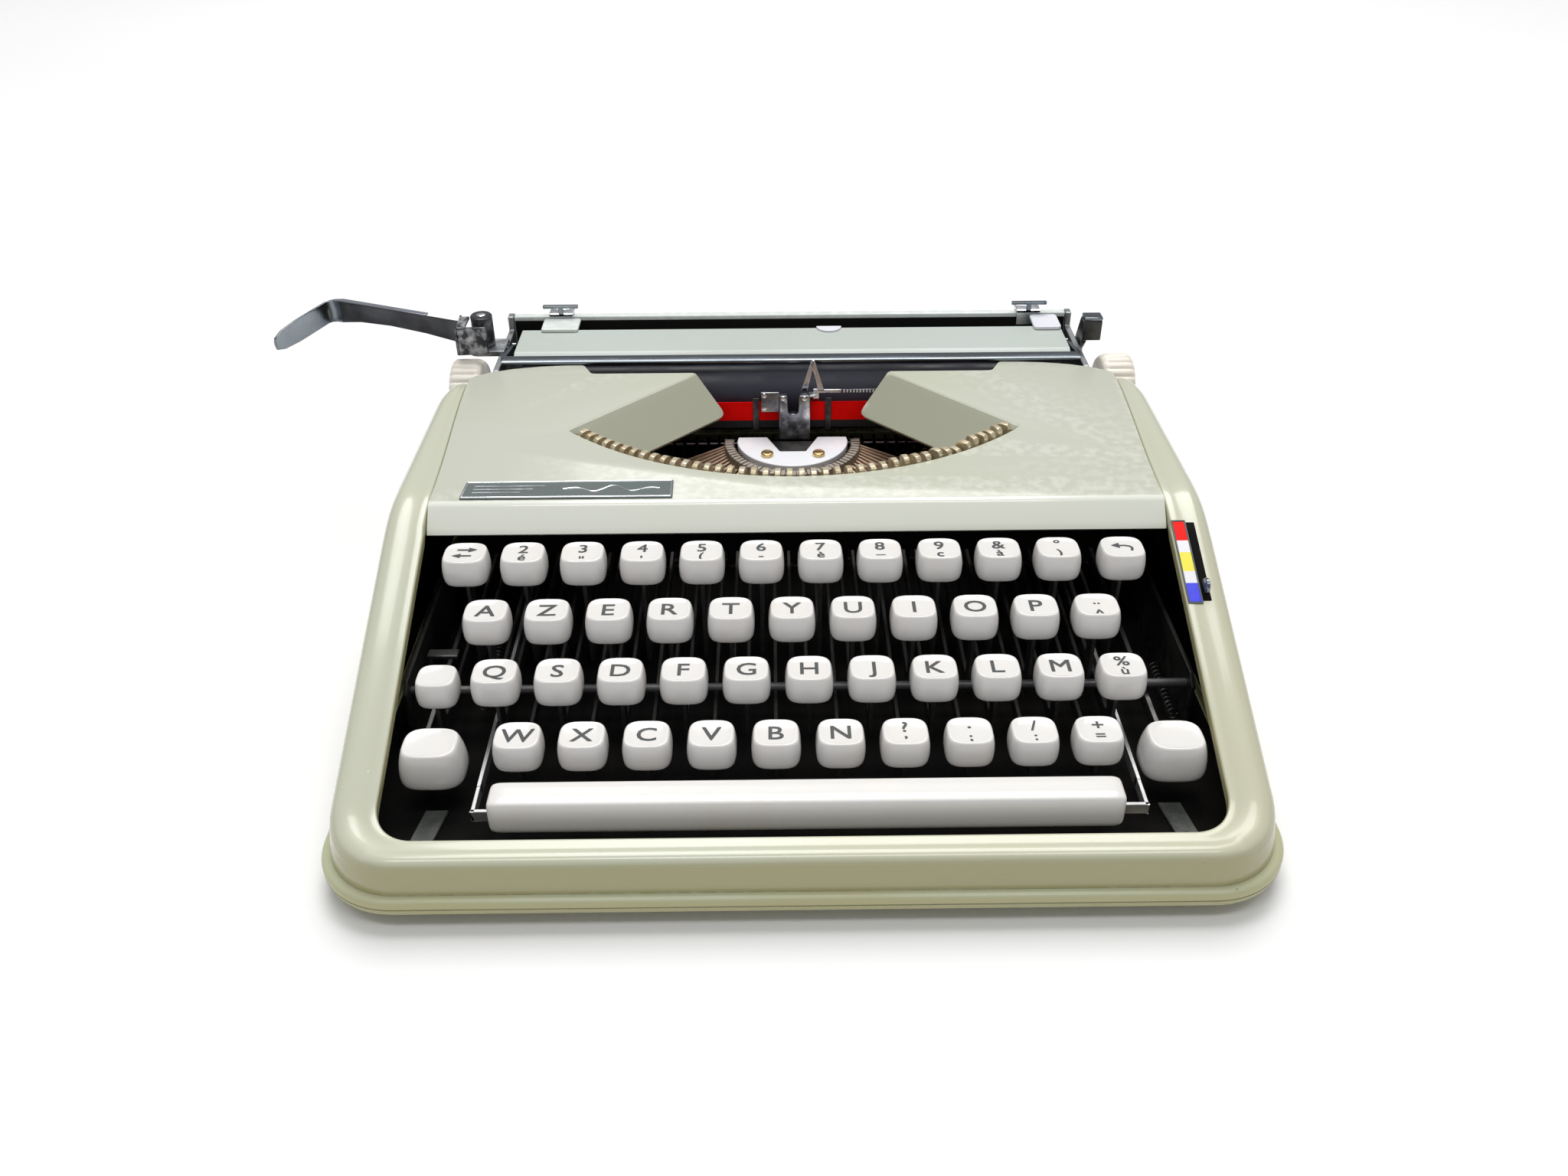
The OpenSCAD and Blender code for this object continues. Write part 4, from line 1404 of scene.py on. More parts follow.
def buildShiftKeys(s=shiftSettings):
    w, d, h = s["size"]
    for side, center, leverX in zip(("left", "right"), s["caps"], s["levers"]):
        addShiftPiece(
            f"{side}ShiftCap",
            capShape(center, w, d, h, s["dish"], s["power"], taper=s["taper"], count=64),
            keyPlastic, angle=60)
        x, y = center[:2]
        outline = [(y - 2.5, 17.6), (y - 2.5, 20.5), (y + 8, 22.0), (107.0, 22.0)]
        for n in range(11):
            a = math.radians(140 - 28 * n)
            outline.append((
                s["pivotY"] + s["hub"] * math.cos(a), s["pivotZ"] + s["hub"] * math.sin(a)))
        outline += [(107.0, 17.5)]
        addShiftPiece(
            f"{side}ShiftLever", prismX(outline, leverX - s["thick"] / 2, leverX + s["thick"] / 2),
            leverSteel, bevel=0.2)
        # flat rail lying in front of each shift key
        lean = 1 if x > 0 else -1
        left, right = x - s["railHalf"], x + s["railHalf"]
        over = s["railLean"] * lean
        rail = [
            (left, s["railBack"]), (right, s["railBack"]), (right + over, s["railFront"]),
            (left + over, s["railFront"])]
        addChassisPiece(f"{side}ShiftRail", prismZ(rail, 8.3, 9.5), shiftPaint, bevel=0.3)
        hole = lathe(
            [(0.0, 9.45), (1.1, 9.45), (1.1, 9.6), (0.0, 9.6)], "z", (x + 2.2 * lean, -116.5, 0),
            20)
        addChassisPiece(f"{side}RailHole", hole, blackSteel)
    cross = boxShape((-115.9, 94.2, 9.1), (111.2, 96.8, 10.9))
    addShiftPiece("shiftCrossBar", cross, darkSteel, bevel=0.3)
    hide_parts("shift_keys")


shiftPaint = makeFinish(
    "greenShiftPaint", color=(0.085, 0.095, 0.088), tint=(0.060, 0.068, 0.064), tintScale=60.0,
    roughness=(0.35, 0.5), wear=(0.3, 0.3, 0.28), scratch=0.4, dust=0.15,
)
buildShiftKeys()

spaceSettings = {
    "left": -89.6, "right": 91.4, "y": -116.5, "halfDepth": 5.4, "bottom": 17.0, "top": 29.0,
    "armLeft": -94.9, "armRight": 98.9, "strapHalf": 0.6, "strapFront": -116.6,
}


def buildSpaceBar(s=spaceSettings):
    # rounded section carried along the bar, drawn in at its ends
    hd = s["halfDepth"]
    section = [
        (-0.55, 0.0), (-0.80, 0.03), (-0.93, 0.09), (-0.985, 0.17), (-1.0, 0.30), (-1.0, 0.55),
        (-0.985, 0.75),
        (-0.955, 0.87), (-0.90, 0.945), (-0.82, 0.982), (-0.6, 1.0), (0.0, 0.992), (0.6, 1.0),
        (0.82, 0.982),
        (0.92, 0.93), (0.97, 0.82), (0.99, 0.6), (0.99, 0.2), (0.93, 0.06), (0.7, 0.0),
    ]
    height = s["top"] - s["bottom"]
    stations = [
        (0.0, 0.72), (0.15, 0.80), (0.5, 0.885), (1.0, 0.935), (1.8, 0.975), (3.0, 0.995),
        (4.5, 1.0)]
    length = s["right"] - s["left"]
    places = stations + [(length / 2, 1.0)] + [(length - a, b) for a, b in reversed(stations)]
    rows = []
    for along, size in places:
        rows.append([
            (
                s["left"] + along, s["y"] + hd * a * size,
                s["bottom"] + height * (0.5 + (b - 0.5) * size))
            for a, b in section])
    verts, faces = grid(rows, closeAcross=True)
    count = len(section)
    faces += [tuple(range(count)), tuple(reversed(range(len(verts) - count, len(verts))))]
    bar = addSpacePiece("spaceBarCap", (verts, faces), keyPlastic, angle=60, subdivide=1)
    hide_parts("space_bar")
    # flat steel straps at each end
    for side, end, arm, out in (
            ("left", s["left"], s["armLeft"], -1), ("right", s["right"], s["armRight"], 1)):
        strap = Shape()
        t = s["strapHalf"]
        y0 = s["strapFront"]
        strap.add(*boxShape(
            (min(end - out * 3, arm + out * t), y0, 18.0),
            (max(end - out * 3, arm + out * t), y0 + 1.2, 21.6)))
        strap.add(*boxShape((arm - t, y0, 18.0), (arm + t, -104, 21.6)))
        strap.add(*prismX(
            [
                (-106, 17.6), (-106, 21.8), (107, 22.0), (109, 22.6), (112.6, 21.0), (113, 18.5),
                (109, 16.4), (106, 17.5)],
            arm - t, arm + t))
        addSpacePiece(f"{side}SpaceStrap", strap, strapSteel, bevel=0.18)


strapSteel = makeFinish(
    "strapSteel", color=(0.55, 0.55, 0.56), tint=(0.42, 0.42, 0.42), tintScale=90.0,
    metallic=0.8, roughness=(0.3, 0.45), scratch=0.5, dust=0.05, skinStretch=(8, 1, 8),
)
buildSpaceBar()
print("stage: keyboard built")

# chassis

chassisSettings = {
    "plateX": [-124.6, 123.2], "rodY": 110.0, "rodZ": 19.5, "stopY": -64.5, "stopZ": 24.6}


def buildChassis(s=chassisSettings):
    plates = Shape()
    outline = [(-70, 8.2), (130.5, 8.2), (130.5, 24.6), (20, 30), (-66, 30), (-70, 27)]
    for x in s["plateX"]:
        plates.add(*prismX(outline, x, x + 1.4))
    frameSides = addChassisPiece("chassisSides", plates, blackSteel, bevel=0.3)
    rods = Shape()
    rods.add(*lathe([(1.5, -124.5), (1.5, 124.5)], "x", (0, s["rodY"], s["rodZ"]), 24))
    addChassisPiece("fulcrumRod", rods, brightSteel)
    stop = Shape()
    stop.add(*lathe([(1.5, -123.2), (1.5, 123.2)], "x", (0, s["stopY"], s["stopZ"]), 24))
    addChassisPiece("keyStopBar", stop, stopBarSteel)
    comb = Shape()
    # places and widths of the slots for the side keys, the space bar and the shift keys
    slots = [
        (-106.3, 2.0), (103.8, 2.0), (-111.0, 2.0), (-94.9, 2.0), (98.9, 2.0), (-115.2, 2.8),
        (110.5, 2.8)]
    for rowName, firstX, _, _, legends in keyRows:
        slots += [(leverPlace(rowName, firstX, i), 2.0) for i in range(len(legends))]
    slots.sort()
    outline = [(-122.6, 8.2), (122.6, 8.2), (122.6, 26)]
    for x, width in reversed(slots):
        outline += [
            (x + width / 2, 26), (x + width / 2, 11), (x - width / 2, 11), (x - width / 2, 26)]
    outline += [(-122.6, 26)]
    comb.add(*prismY(outline, 30.2, 31.8))
    addChassisPiece("leverComb", comb, blackSteel)
    rails = Shape()
    for y in (112.5, 126.5):
        rails.add(*boxShape((-122.6, y, 24.8), (122.6, y + 4, 30)))
        for x in (-122.6, 119.2):
            rails.add(*boxShape((x, y + 2, 8.2), (x + 3.6, y + 4, 25)))
    addChassisPiece("carriageRails", rails, darkSteel, bevel=0.3)
    bell = lathe(
        [
            (0.0, 14.4), (2.0, 14.3), (4.6, 13.4), (6.3, 11.4), (7.0, 8.6), (7.0, 8.2), (6.4, 8.2),
            (6.0, 11.0), (4.2, 12.9), (0.0, 13.8)],
        "z", (60, 125, 0), 40)
    addChassisPiece("marginBell", bell, brassScrew, angle=50)
    drum = lathe([(3.0, 8.2), (3.0, 12.4), (0.0, 12.4)], "z", (-70, 102, 0), 24)
    addChassisPiece("springPost", drum, darkSteel, bevel=0.2)
    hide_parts("chassis")
    # dark curtain between keyboard and type basket: a black sheet for painted shade
    back = boxShape((-121.5, 12.0, 27.0), (121.5, 12.6, 56.0))
    addChassisPiece("innerScreen", back, feltAndShade, bevel=0.1)


stopBarSteel = makeFinish(
    "stopBarSteel", color=(0.10, 0.10, 0.105), tint=(0.055, 0.055, 0.06), tintScale=70.0,
    metallic=0.5, roughness=(0.35, 0.5), scratch=0.4, dust=0.1,
)
buildChassis()


def springCoil(start, end, radius, turns, wire):
    a, b = Vector(start), Vector(end)
    axis = (b - a).normalized()
    side = axis.orthogonal().normalized()
    other = axis.cross(side)
    count = turns * 14
    points = []
    for k in range(count + 1):
        t = k / count
        angle = 2 * math.pi * turns * t
        points.append(tuple(
            a + (b - a) * t + radius * (math.cos(angle) * side + math.sin(angle) * other)))
    return tube(points, wire, 6)


addChassisPiece(
    "leftReturnSpring", springCoil((-102.2, -62, 15.2), (-102.2, -30, 15.8), 1.6, 16, 0.28),
    leverSteel)
addChassisPiece(
    "shiftSpring", springCoil((119.2, -70, 15.5), (119.2, -44, 15.5), 1.5, 13, 0.28), leverSteel)
hookShape = Shape()
hookShape.add(*boxShape((-121.2, -50.5, 26.0), (-111.0, -46.5, 27.6)))
hookShape.add(*boxShape((-121.2, -50.5, 12.0), (-119.6, -46.5, 27.0)))
addChassisPiece("lockHook", hookShape, leverSteel, bevel=0.4)
print("stage: chassis built")

# printing mechanism

mechanismSettings = {
    "barCount": 42, "spread": 44.0, "fan": 76.0, "arcY": 110.8, "slugRadius": 109.0,
    "rootY": 78.0, "rootRadius": 25.0, "kneeRadius": 43.0, "rootZ": 38.0, "kneeZ": 33.5,
    "tipZ": 60.0, "slugZ": 63.6,
    "looseFrom": 30.0,
}


def arcPoints(cx, cy, radius, start, end, count):
    angles = [math.radians(start + (end - start) * k / count) for k in range(count + 1)]
    return [(cx + radius * math.cos(a), cy + radius * math.sin(a)) for a in angles]


def sector(cx, cy, inner, outer, start, end, z0, z1, count=40):
    outline = arcPoints(cx, cy, outer, start, end, count) + list(reversed(arcPoints(
        cx, cy, inner, start, end, count)))
    low = [(x, y, z0) for x, y in outline]
    high = [(x, y, z1) for x, y in outline]
    n = len(outline)
    faces = [(i, (i + 1) % n, (i + 1) % n + n, i + n) for i in range(n)]
    for i in range(count):
        faces.append((i, i + 1, n - 2 - i, n - 1 - i))
        faces.append((i + n, 2 * n - 1 - i, 2 * n - 2 - i, i + 1 + n))
    return low + high, faces


def barBetween(start, end, width, heightStart, heightEnd):
    a, b = Vector(start), Vector(end)
    ahead = (b - a).normalized()
    side = ahead.cross(Vector((0, 0, 1))).normalized() * width / 2
    up = side.cross(ahead).normalized()
    verts = []
    for p, h in ((a, heightStart), (b, heightEnd)):
        verts += [
            p - side - up * h / 2, p + side - up * h / 2, p + side + up * h / 2,
            p - side + up * h / 2]
    faces = [(3, 2, 1, 0), (4, 5, 6, 7)] + [
        (i, (i + 1) % 4, (i + 1) % 4 + 4, i + 4) for i in range(4)]
    return [tuple(v) for v in verts], faces


def buildTypeBars(s=mechanismSettings):
    bars, slugs, faces = Shape(), Shape(), Shape()
    for i in range(s["barCount"]):
        t = i / (s["barCount"] - 1)
        psi = math.radians(-s["spread"] + 2 * s["spread"] * t)
        phi = math.radians(-s["fan"] + 2 * s["fan"] * t)
        root = (
            s["rootRadius"] * math.sin(phi), s["rootY"] - s["rootRadius"] * math.cos(phi),
            s["rootZ"])
        bx = s["slugRadius"] * math.sin(psi)
        by = s["arcY"] - s["slugRadius"] * math.cos(psi)
        loose = softStep((bx - s["looseFrom"]) / 6)
        lift = loose * (random.uniform(-0.6, 1.5) + 1.8 * softStep((bx - 58) / 14))
        swing = loose * math.radians(random.uniform(-20, 20))
        knee = (
            s["kneeRadius"] * math.sin(phi), s["rootY"] - s["kneeRadius"] * math.cos(phi),
            s["kneeZ"])
        tip = (bx, by, s["tipZ"] + lift)
        bars.add(*barBetween(root, knee, 0.9, 3.0, 3.0))
        bars.add(*barBetween(knee, tip, 0.9, 3.0, 2.3))
        turn = Matrix.Rotation(psi + swing, 4, "Z")
        side = [
            (-2.6, -3.0), (2.6, -3.0), (2.6, 1.4), (1.9, 2.5), (0.6, 3.0), (-1.8, 3.0), (-2.6, 2.2)]
        verts, quads = prismX(side, -1.05, 1.05)
        slugs.add(
            [tuple(turn @ Vector(v) + Vector((bx, by, s["slugZ"] + lift))) for v in verts], quads)
        for height in (-1.7, 1.0):
            verts, quads = boxShape((-0.8, -2.95, height - 0.8), (0.8, -2.55, height + 0.7))
            faces.add(
                [tuple(turn @ Vector(v) + Vector((bx, by, s["slugZ"] + lift))) for v in verts],
                quads)
    addTypePiece("typeBars", bars, copperBar, bevel=0.12)
    addTypePiece("typeSlugs", slugs, typeMetal, bevel=0.22)
    addTypePiece("typeFaces", faces, typeMetal, bevel=0.12)


segmentSteel = makeFinish(
    "segmentSteel", color=(0.86, 0.87, 0.91), tint=(0.76, 0.77, 0.82), tintScale=90.0,
    metallic=0.15, roughness=(0.3, 0.45), scratch=0.5, dust=0.03,
)


def buildSegment():
    outline = [(5, 60.7), (10, 72.6), (21.4, 72.6)] + arcPoints(0, 70.6, 21.9, -4, -176, 44) + [
        (-21.4, 72.6), (-10, 72.6), (-5, 60.7)]
    plate = addTypePiece("segmentPlate", prismZ(outline, 39.6, 42.0), segmentSteel, bevel=0.3)
    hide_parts("type_mechanism")
    ring = sector(0, 70, 23.2, 26.8, -186, 6, 36.6, 41.2, 60)
    addTypePiece("segmentRing", ring, ringMetal, bevel=0.3)
    grooves = Shape()
    for k in range(42):
        a = math.radians(-184 + 188 * k / 41)
        c, n = math.cos(a), math.sin(a)
        grooves.add(*barBetween(
            (22.9 * c, 70 + 22.9 * n, 41.1), (26.9 * c, 70 + 26.9 * n, 41.1), 0.5, 0.5, 0.5))
    addTypePiece("segmentGrooves", grooves, blackSteel)
    addTypePiece(
        "segmentBlock", boxShape((-21.8, 58, 23.6), (21.8, 74, 39.4)), blackSteel, bevel=0.5)
    screws, slits = Shape(), Shape()
    for x in (-10, 10):
        screws.add(*lathe(
            [(2.4, 41.9), (2.4, 43.0), (2.0, 43.4), (0.0, 43.4)], "z", (x, 57.6, 0), 28))
        slits.add(*boxShape((x - 2.0, 57.35, 43.2), (x + 2.0, 57.85, 43.45)))
    addTypePiece("segmentScrews", screws, brassScrew, bevel=0.1)
    addTypePiece("segmentScrewSlits", slits, blackSteel)
    rest = sector(0, 110.8, 110.3, 113.0, -132, -48, 57.0, 60.0, 60)
    addTypePiece("typeRest", rest, feltAndShade, bevel=0.3)


ringMetal = makeFinish(
    "segmentRingMetal", color=(0.42, 0.38, 0.32), tint=(0.30, 0.26, 0.21), tintScale=110.0,
    metallic=0.7, roughness=(0.35, 0.55), scratch=0.5, dust=0.15,
)


def buildGuide():
    fork = roundedOutline(
        [
            (-5.2, 38), (7.2, 38), (7.2, 58.6), (2.5, 58.6), (2.5, 50.6), (-1.7, 50.6),
            (-1.7, 58.6), (-5.2, 58.6)],
        [0.3, 0.3, 0.9, 0.9, 1.9, 1.9, 0.9, 0.9])
    addTypePiece("guideColumn", prismY(fork, 75, 78), columnChrome, bevel=0.4, segments=3)
    wing = Shape()
    wing.add(*boxShape((-12.4, 76.2, 51.0), (-5.0, 77.4, 59.6)))
    addTypePiece("guideWing", wing, columnChrome, bevel=0.3)
    rivets = Shape()
    for x, z in ((-11.0, 58.4), (-11.0, 52.9), (-3.5, 57.6), (4.9, 57.6)):
        front = 76.2 if x < -8 else 75.0
        rivets.add(*lathe(
            [(1.0, front), (0.9, front - 0.5), (0.0, front - 0.7)], "y", (x, 0, z), 16))
    addTypePiece("guideRivets", rivets, brightSteel, angle=50)
    holder = Shape()
    for outline in (
            [(3.4, 58), (6.0, 58), (8.5, 68.6), (8.2, 71), (7.6, 71)],
            [(13, 58), (8.8, 71), (8.2, 71), (7.9, 68.6), (10.4, 58)],
            [(8.4, 50.2), (10.8, 50.2), (10.8, 59), (8.4, 59)],
            [(10.4, 57.2), (19.6, 57.2), (19.6, 58.7), (10.4, 58.7)]):
        holder.add(*prismY(outline, 80.4, 81.2))
    holder.add(*boxShape((6.5, 77.6, 56.7), (9.5, 80.8, 57.7)))
    addTypePiece("cardHolder", holder, brightSteel, bevel=0.18)
    addTypePiece("lineScale", boxShape((19.7, 80.5, 57.2), (36, 81.1, 58.7)), darkSteel, bevel=0.1)
    ticks = Shape()
    for k in range(12):
        x = 20.7 + 1.28 * k
        ticks.add(*boxShape((x - 0.3, 80.38, 57.4), (x + 0.3, 80.55, 58.6)))
    addTypePiece("lineScaleTicks", ticks, whitePlastic)


columnChrome = makeFinish(
    "guideColumnChrome", color=(0.30, 0.31, 0.34), tint=(0.10, 0.10, 0.12), tintScale=120.0,
    metallic=1.0, roughness=(0.14, 0.28), wear=(0.75, 0.75, 0.78), scratch=0.4, dust=0.05,
    skinStretch=(10, 10, 1),
)


def buildRibbon():
    red, black = Shape(), Shape()
    for side in (-1, 1):
        red.add(*boxShape(
            (min(side * 5, side * 76), 79.0, 46.2), (max(side * 5, side * 76), 79.2, 54.2)))
        black.add(*boxShape(
            (min(side * 5, side * 76), 79.0, 43), (max(side * 5, side * 76), 79.2, 46.2)))
        start, end = (side * 76, 79.1), (side * 87.5, 58.2)
        red.add(*barBetween((*start, 50.2), (*end, 50.2), 0.2, 8.0, 8.0))
        black.add(*barBetween((*start, 44.6), (*end, 44.6), 0.2, 3.2, 3.2))
    addTypePiece("ribbonRedHalf", red, ribbonRed)
    addTypePiece("ribbonBlackHalf", black, ribbonBlack)
    posts = Shape()
    for x in (-15.6, 13.1):
        posts.add(*boxShape((x, 78.4, 42), (x + 2.5, 78.95, 56)))
    addTypePiece("ribbonPosts", posts, blackSteel, bevel=0.15)
    spools, wound = Shape(), Shape()
    for x in (-99, 99):
        spools.add(*lathe(
            [(17.0, 46.0), (17.0, 46.9), (2.0, 46.9), (2.0, 46.0)], "z", (x, 44, 0), 56))
        spools.add(*lathe(
            [(17.0, 59.1), (17.0, 60.0), (4.0, 60.0), (4.0, 59.1)], "z", (x, 44, 0), 56))
        spools.add(*lathe([(2.0, 26.0), (2.0, 60.6), (0.0, 60.6)], "z", (x, 44, 0), 20))
        wound.add(*lathe(
            [(13.8, 47.0), (13.8, 59.0), (2.1, 59.0), (2.1, 47.0)], "z", (x, 44, 0), 48))
    addTypePiece("ribbonSpools", spools, blackSteel, bevel=0.2)
    addTypePiece("woundRibbon", wound, ribbonBlack)


buildTypeBars()
buildSegment()
buildGuide()
buildRibbon()
print("stage: mechanism built")

# carriage

carriageSettings = {
    "plateIn": 116.8, "plateThick": 2.5, "platenY": 98.0, "platenZ": 50.0, "pivotY": 119.0,
    "pivotZ": 60.0,
    "knobSteps": 144, "flutes": 24, "fluteDepth": 0.75, "shaftBore": 3.1,
    "leverPivot": (-126, 112, 0), "releasePivot": (0, 122, 56),
}


tablePaint = makeFinish(
    "paperTablePaint", color=(0.50, 0.55, 0.52), tint=(0.46, 0.50, 0.46), tintScale=18.0,
    roughness=(0.3, 0.42), coat=0.1, wear=(0.66, 0.69, 0.66), scratch=0.3, dust=0.08, skin=0.02,
)


def buildCarriageFrame(s=carriageSettings):
    ends = Shape()
    outline = roundedOutline(
        [
            (86, 42), (86, 58), (90, 63.6), (130.5, 63.6), (130.5, 69.5), (135.2, 69.5),
            (135.2, 30.4), (108, 30.4), (100, 34.5), (92, 36)],
        [2.0, 2.0, 2.0, 0.8, 0.6, 0.6, 0.6, 2.0, 2.0, 2.0])
    for x in (-s["plateIn"] - s["plateThick"], s["plateIn"]):
        ends.add(*prismX(outline, x, x + s["plateThick"]))
    frameEnds = addCarriagePiece("carriageEnds", ends, endSteel, bevel=0.35)
    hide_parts("carriage_frame")
    low = Shape()
    low.add(*boxShape((-116.6, 111, 30.6), (116.6, 134, 33.5)))
    low.add(*boxShape((-115.8, 117, 26), (115.8, 126, 30.5)))
    addCarriagePiece("carriageBearing", low, darkSteel, bevel=0.3)
    addCarriagePiece(
        "rearRail", boxShape((-116.7, 131.2, 66), (116.7, 135, 69.3)), railPaint, bevel=0.5,
        segments=3)
    addCarriagePiece(
        "rearWallPlate", boxShape((-116.7, 132, 33.6), (116.7, 133.5, 65.9)), carriagePaint,
        bevel=0.3)
    table = roundedOutline(
        [
            (96, 65.6), (96, 67), (98, 68), (120, 68), (122.5, 66.6), (123.5, 48), (122, 48),
            (120.8, 65.6)],
        [0.3, 0.5, 2.5, 2.5, 1.5, 0.3, 0.3, 1.0])
    addCarriagePiece("paperTable", prismX(table, -111.5, 112.5), tablePaint, bevel=0.25)
    # black strip in front of the rear rail: painted shade for the dark gap between rail and paper
    # table
    addCarriagePiece("railShade", boxShape((-116.3, 130.4, 52), (116.3, 131.1, 67.6)), feltAndShade)
    addCarriagePiece(
        "paperTray", boxShape((-110, 123.6, 50), (111, 131.9, 51.4)), darkSteel, bevel=0.2)
    bracket = Shape()
    bracket.add(*prismZ(
        roundedOutline(
            [(-132, 105), (-116.9, 105), (-116.9, 118), (-132, 118)], [4.0, 0.5, 0.5, 4.0]),
        63.0, 65.4))
    addCarriagePiece("leverBracket", bracket, endSteel, bevel=0.3)
    studs = Shape()
    studs.add(*lathe(
        [(2.0, 64.0), (2.0, 78.3), (1.7, 78.5), (0.0, 78.5)], "z", s["leverPivot"], 28))
    studs.add(*lathe(
        [(2.0, 119.2), (2.0, 123.2), (1.6, 123.5), (0.0, 123.5)], "x", s["releasePivot"], 28))
    addCarriagePiece("carriageStuds", studs, brightSteel)
    screws = Shape()
    for sx in (-1, 1):
        for y, z in ((90.5, 45.0), (104.0, 40.5), (128.5, 36.0), (128.5, 59.0)):
            x0, x1 = sx * 119.2, sx * 120.3
            screws.add(*lathe([(2.3, x0), (2.3, x1), (0.0, x1 + sx * 0.25)], "x", (0, y, z), 24))
    addCarriagePiece("carriageScrews", screws, brightSteel, angle=40)


endSteel = makeFinish(
    "carriageEndSteel", color=(0.38, 0.40, 0.41), tint=(0.26, 0.27, 0.28), tintScale=60.0,
    metallic=0.85, roughness=(0.25, 0.42), wear=(0.70, 0.70, 0.70), scratch=0.5, dust=0.1,
)
railPaint = makeFinish(
    "rearRailPaint", color=(0.70, 0.75, 0.72), tint=(0.64, 0.69, 0.65), tintScale=18.0,
    roughness=(0.28, 0.4), coat=0.15, wear=(0.80, 0.82, 0.80), scratch=0.3, dust=0.08, skin=0.02,
)


def buildPaperGuides():
    outline = roundedOutline(
        [(-103.4, 117.2), (-88.1, 117.2), (-88.1, 129.2), (-103.4, 129.2)], 1.2)
    addCarriagePiece(
        "leftGuideBlock", prismZ(outline, 68.05, 69.4), railPaint, bevel=0.4, segments=3)
    outline = roundedOutline([(101, 115.6), (112.3, 115.6), (112.3, 129.2), (101, 129.2)], 1.6)
    addCarriagePiece(
        "rightGuideTab", prismZ(outline, 68.05, 69.5), whitePlastic, bevel=0.4, segments=3)
    disc = [
        (16 + 5.2 * math.cos(a), 120.4 - 5.2 * math.sin(a))
        for a in (math.pi * k / 20 for k in range(21))]
    addCarriagePiece("centreMark", prismZ(disc, 68.02, 68.7), whitePlastic, bevel=0.2)


def flutedKnob(x0, x1, outer, s=carriageSettings):
    # outer is the sign of the outward side
    count = s["knobSteps"]
    profile = [
        (0.0, 12.2), (0.06, 13.1), (0.16, 13.8), (0.28, 14.0), (0.80, 14.0), (0.9, 13.8),
        (0.965, 13.1), (1.0, 12.0), (1.0, 9.0), (0.93, 8.2), (0.93, 3.2)]
    rows = []
    for along, radius in profile:
        row = []
        deep = 1.0 if radius > 11.5 else 0.0
        share = softStep((along - 0.05) / 0.15)
        x = x0 + (x1 - x0) * along if outer > 0 else x1 - (x1 - x0) * along
        for k in range(count):
            a = 2 * math.pi * k / count
            groove = max(0.0, math.cos(a * s["flutes"])) ** 1.6
            r = radius - s["fluteDepth"] * groove * deep * share
            row.append((x, s["platenY"] + r * math.cos(a), s["platenZ"] + r * math.sin(a)))
        rows.append(row)
    inner = []
    for k in range(count):
        a = 2 * math.pi * k / count
        inner.append((
            rows[0][0][0], s["platenY"] + s["shaftBore"] * math.cos(a),
            s["platenZ"] + s["shaftBore"] * math.sin(a)))
    return grid([inner] + rows, closeAcross=True)


def buildPlaten(s=carriageSettings):
    origin = (0, s["platenY"], s["platenZ"])
    roller = addPlatenPiece(
        "platenRoller",
        lathe(
            [(3.1, -109), (12.7, -109), (13.3, -108.4), (13.3, 108.4), (12.7, 109), (3.1, 109)],
            "x", origin, 96),
        platenRubber, angle=30)
    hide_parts("platen")
    rods = lathe([(3.0, -137.9), (3.0, 138.9)], "x", origin, 32)
    addPlatenPiece("platenShaft", rods, brightSteel, bevel=0.3)
    knobs = Shape()
    knobs.add(*flutedKnob(-137.4, -124.6, -1))
    knobs.add(*flutedKnob(125.6, 138.4, 1))
    addPlatenPiece("platenKnobs", knobs, knobPlastic, angle=45)
    collars = Shape()
    for x0, x1 in ((-115.6, -110), (110, 115.6)):
        collars.add(*lathe([(3.05, x0), (7.0, x0), (7.0, x1), (3.05, x1)], "x", origin, 36))
    addPlatenPiece("platenCollars", collars, darkSteel, bevel=0.3)


leverSettings = {
    "bladeLow": 67.6, "bladeHigh": 76.9, "narrowing": 2.2, "bow": 0.55, "outerHalf": 0.65,
    "innerHalf": 0.35, "samples": 7, "flangeLow": 76.2, "flangeTop": 76.95, "flangeReach": 3.0,
    "flangeTaper": 1.2, "flangeRoot": 0.2,
}


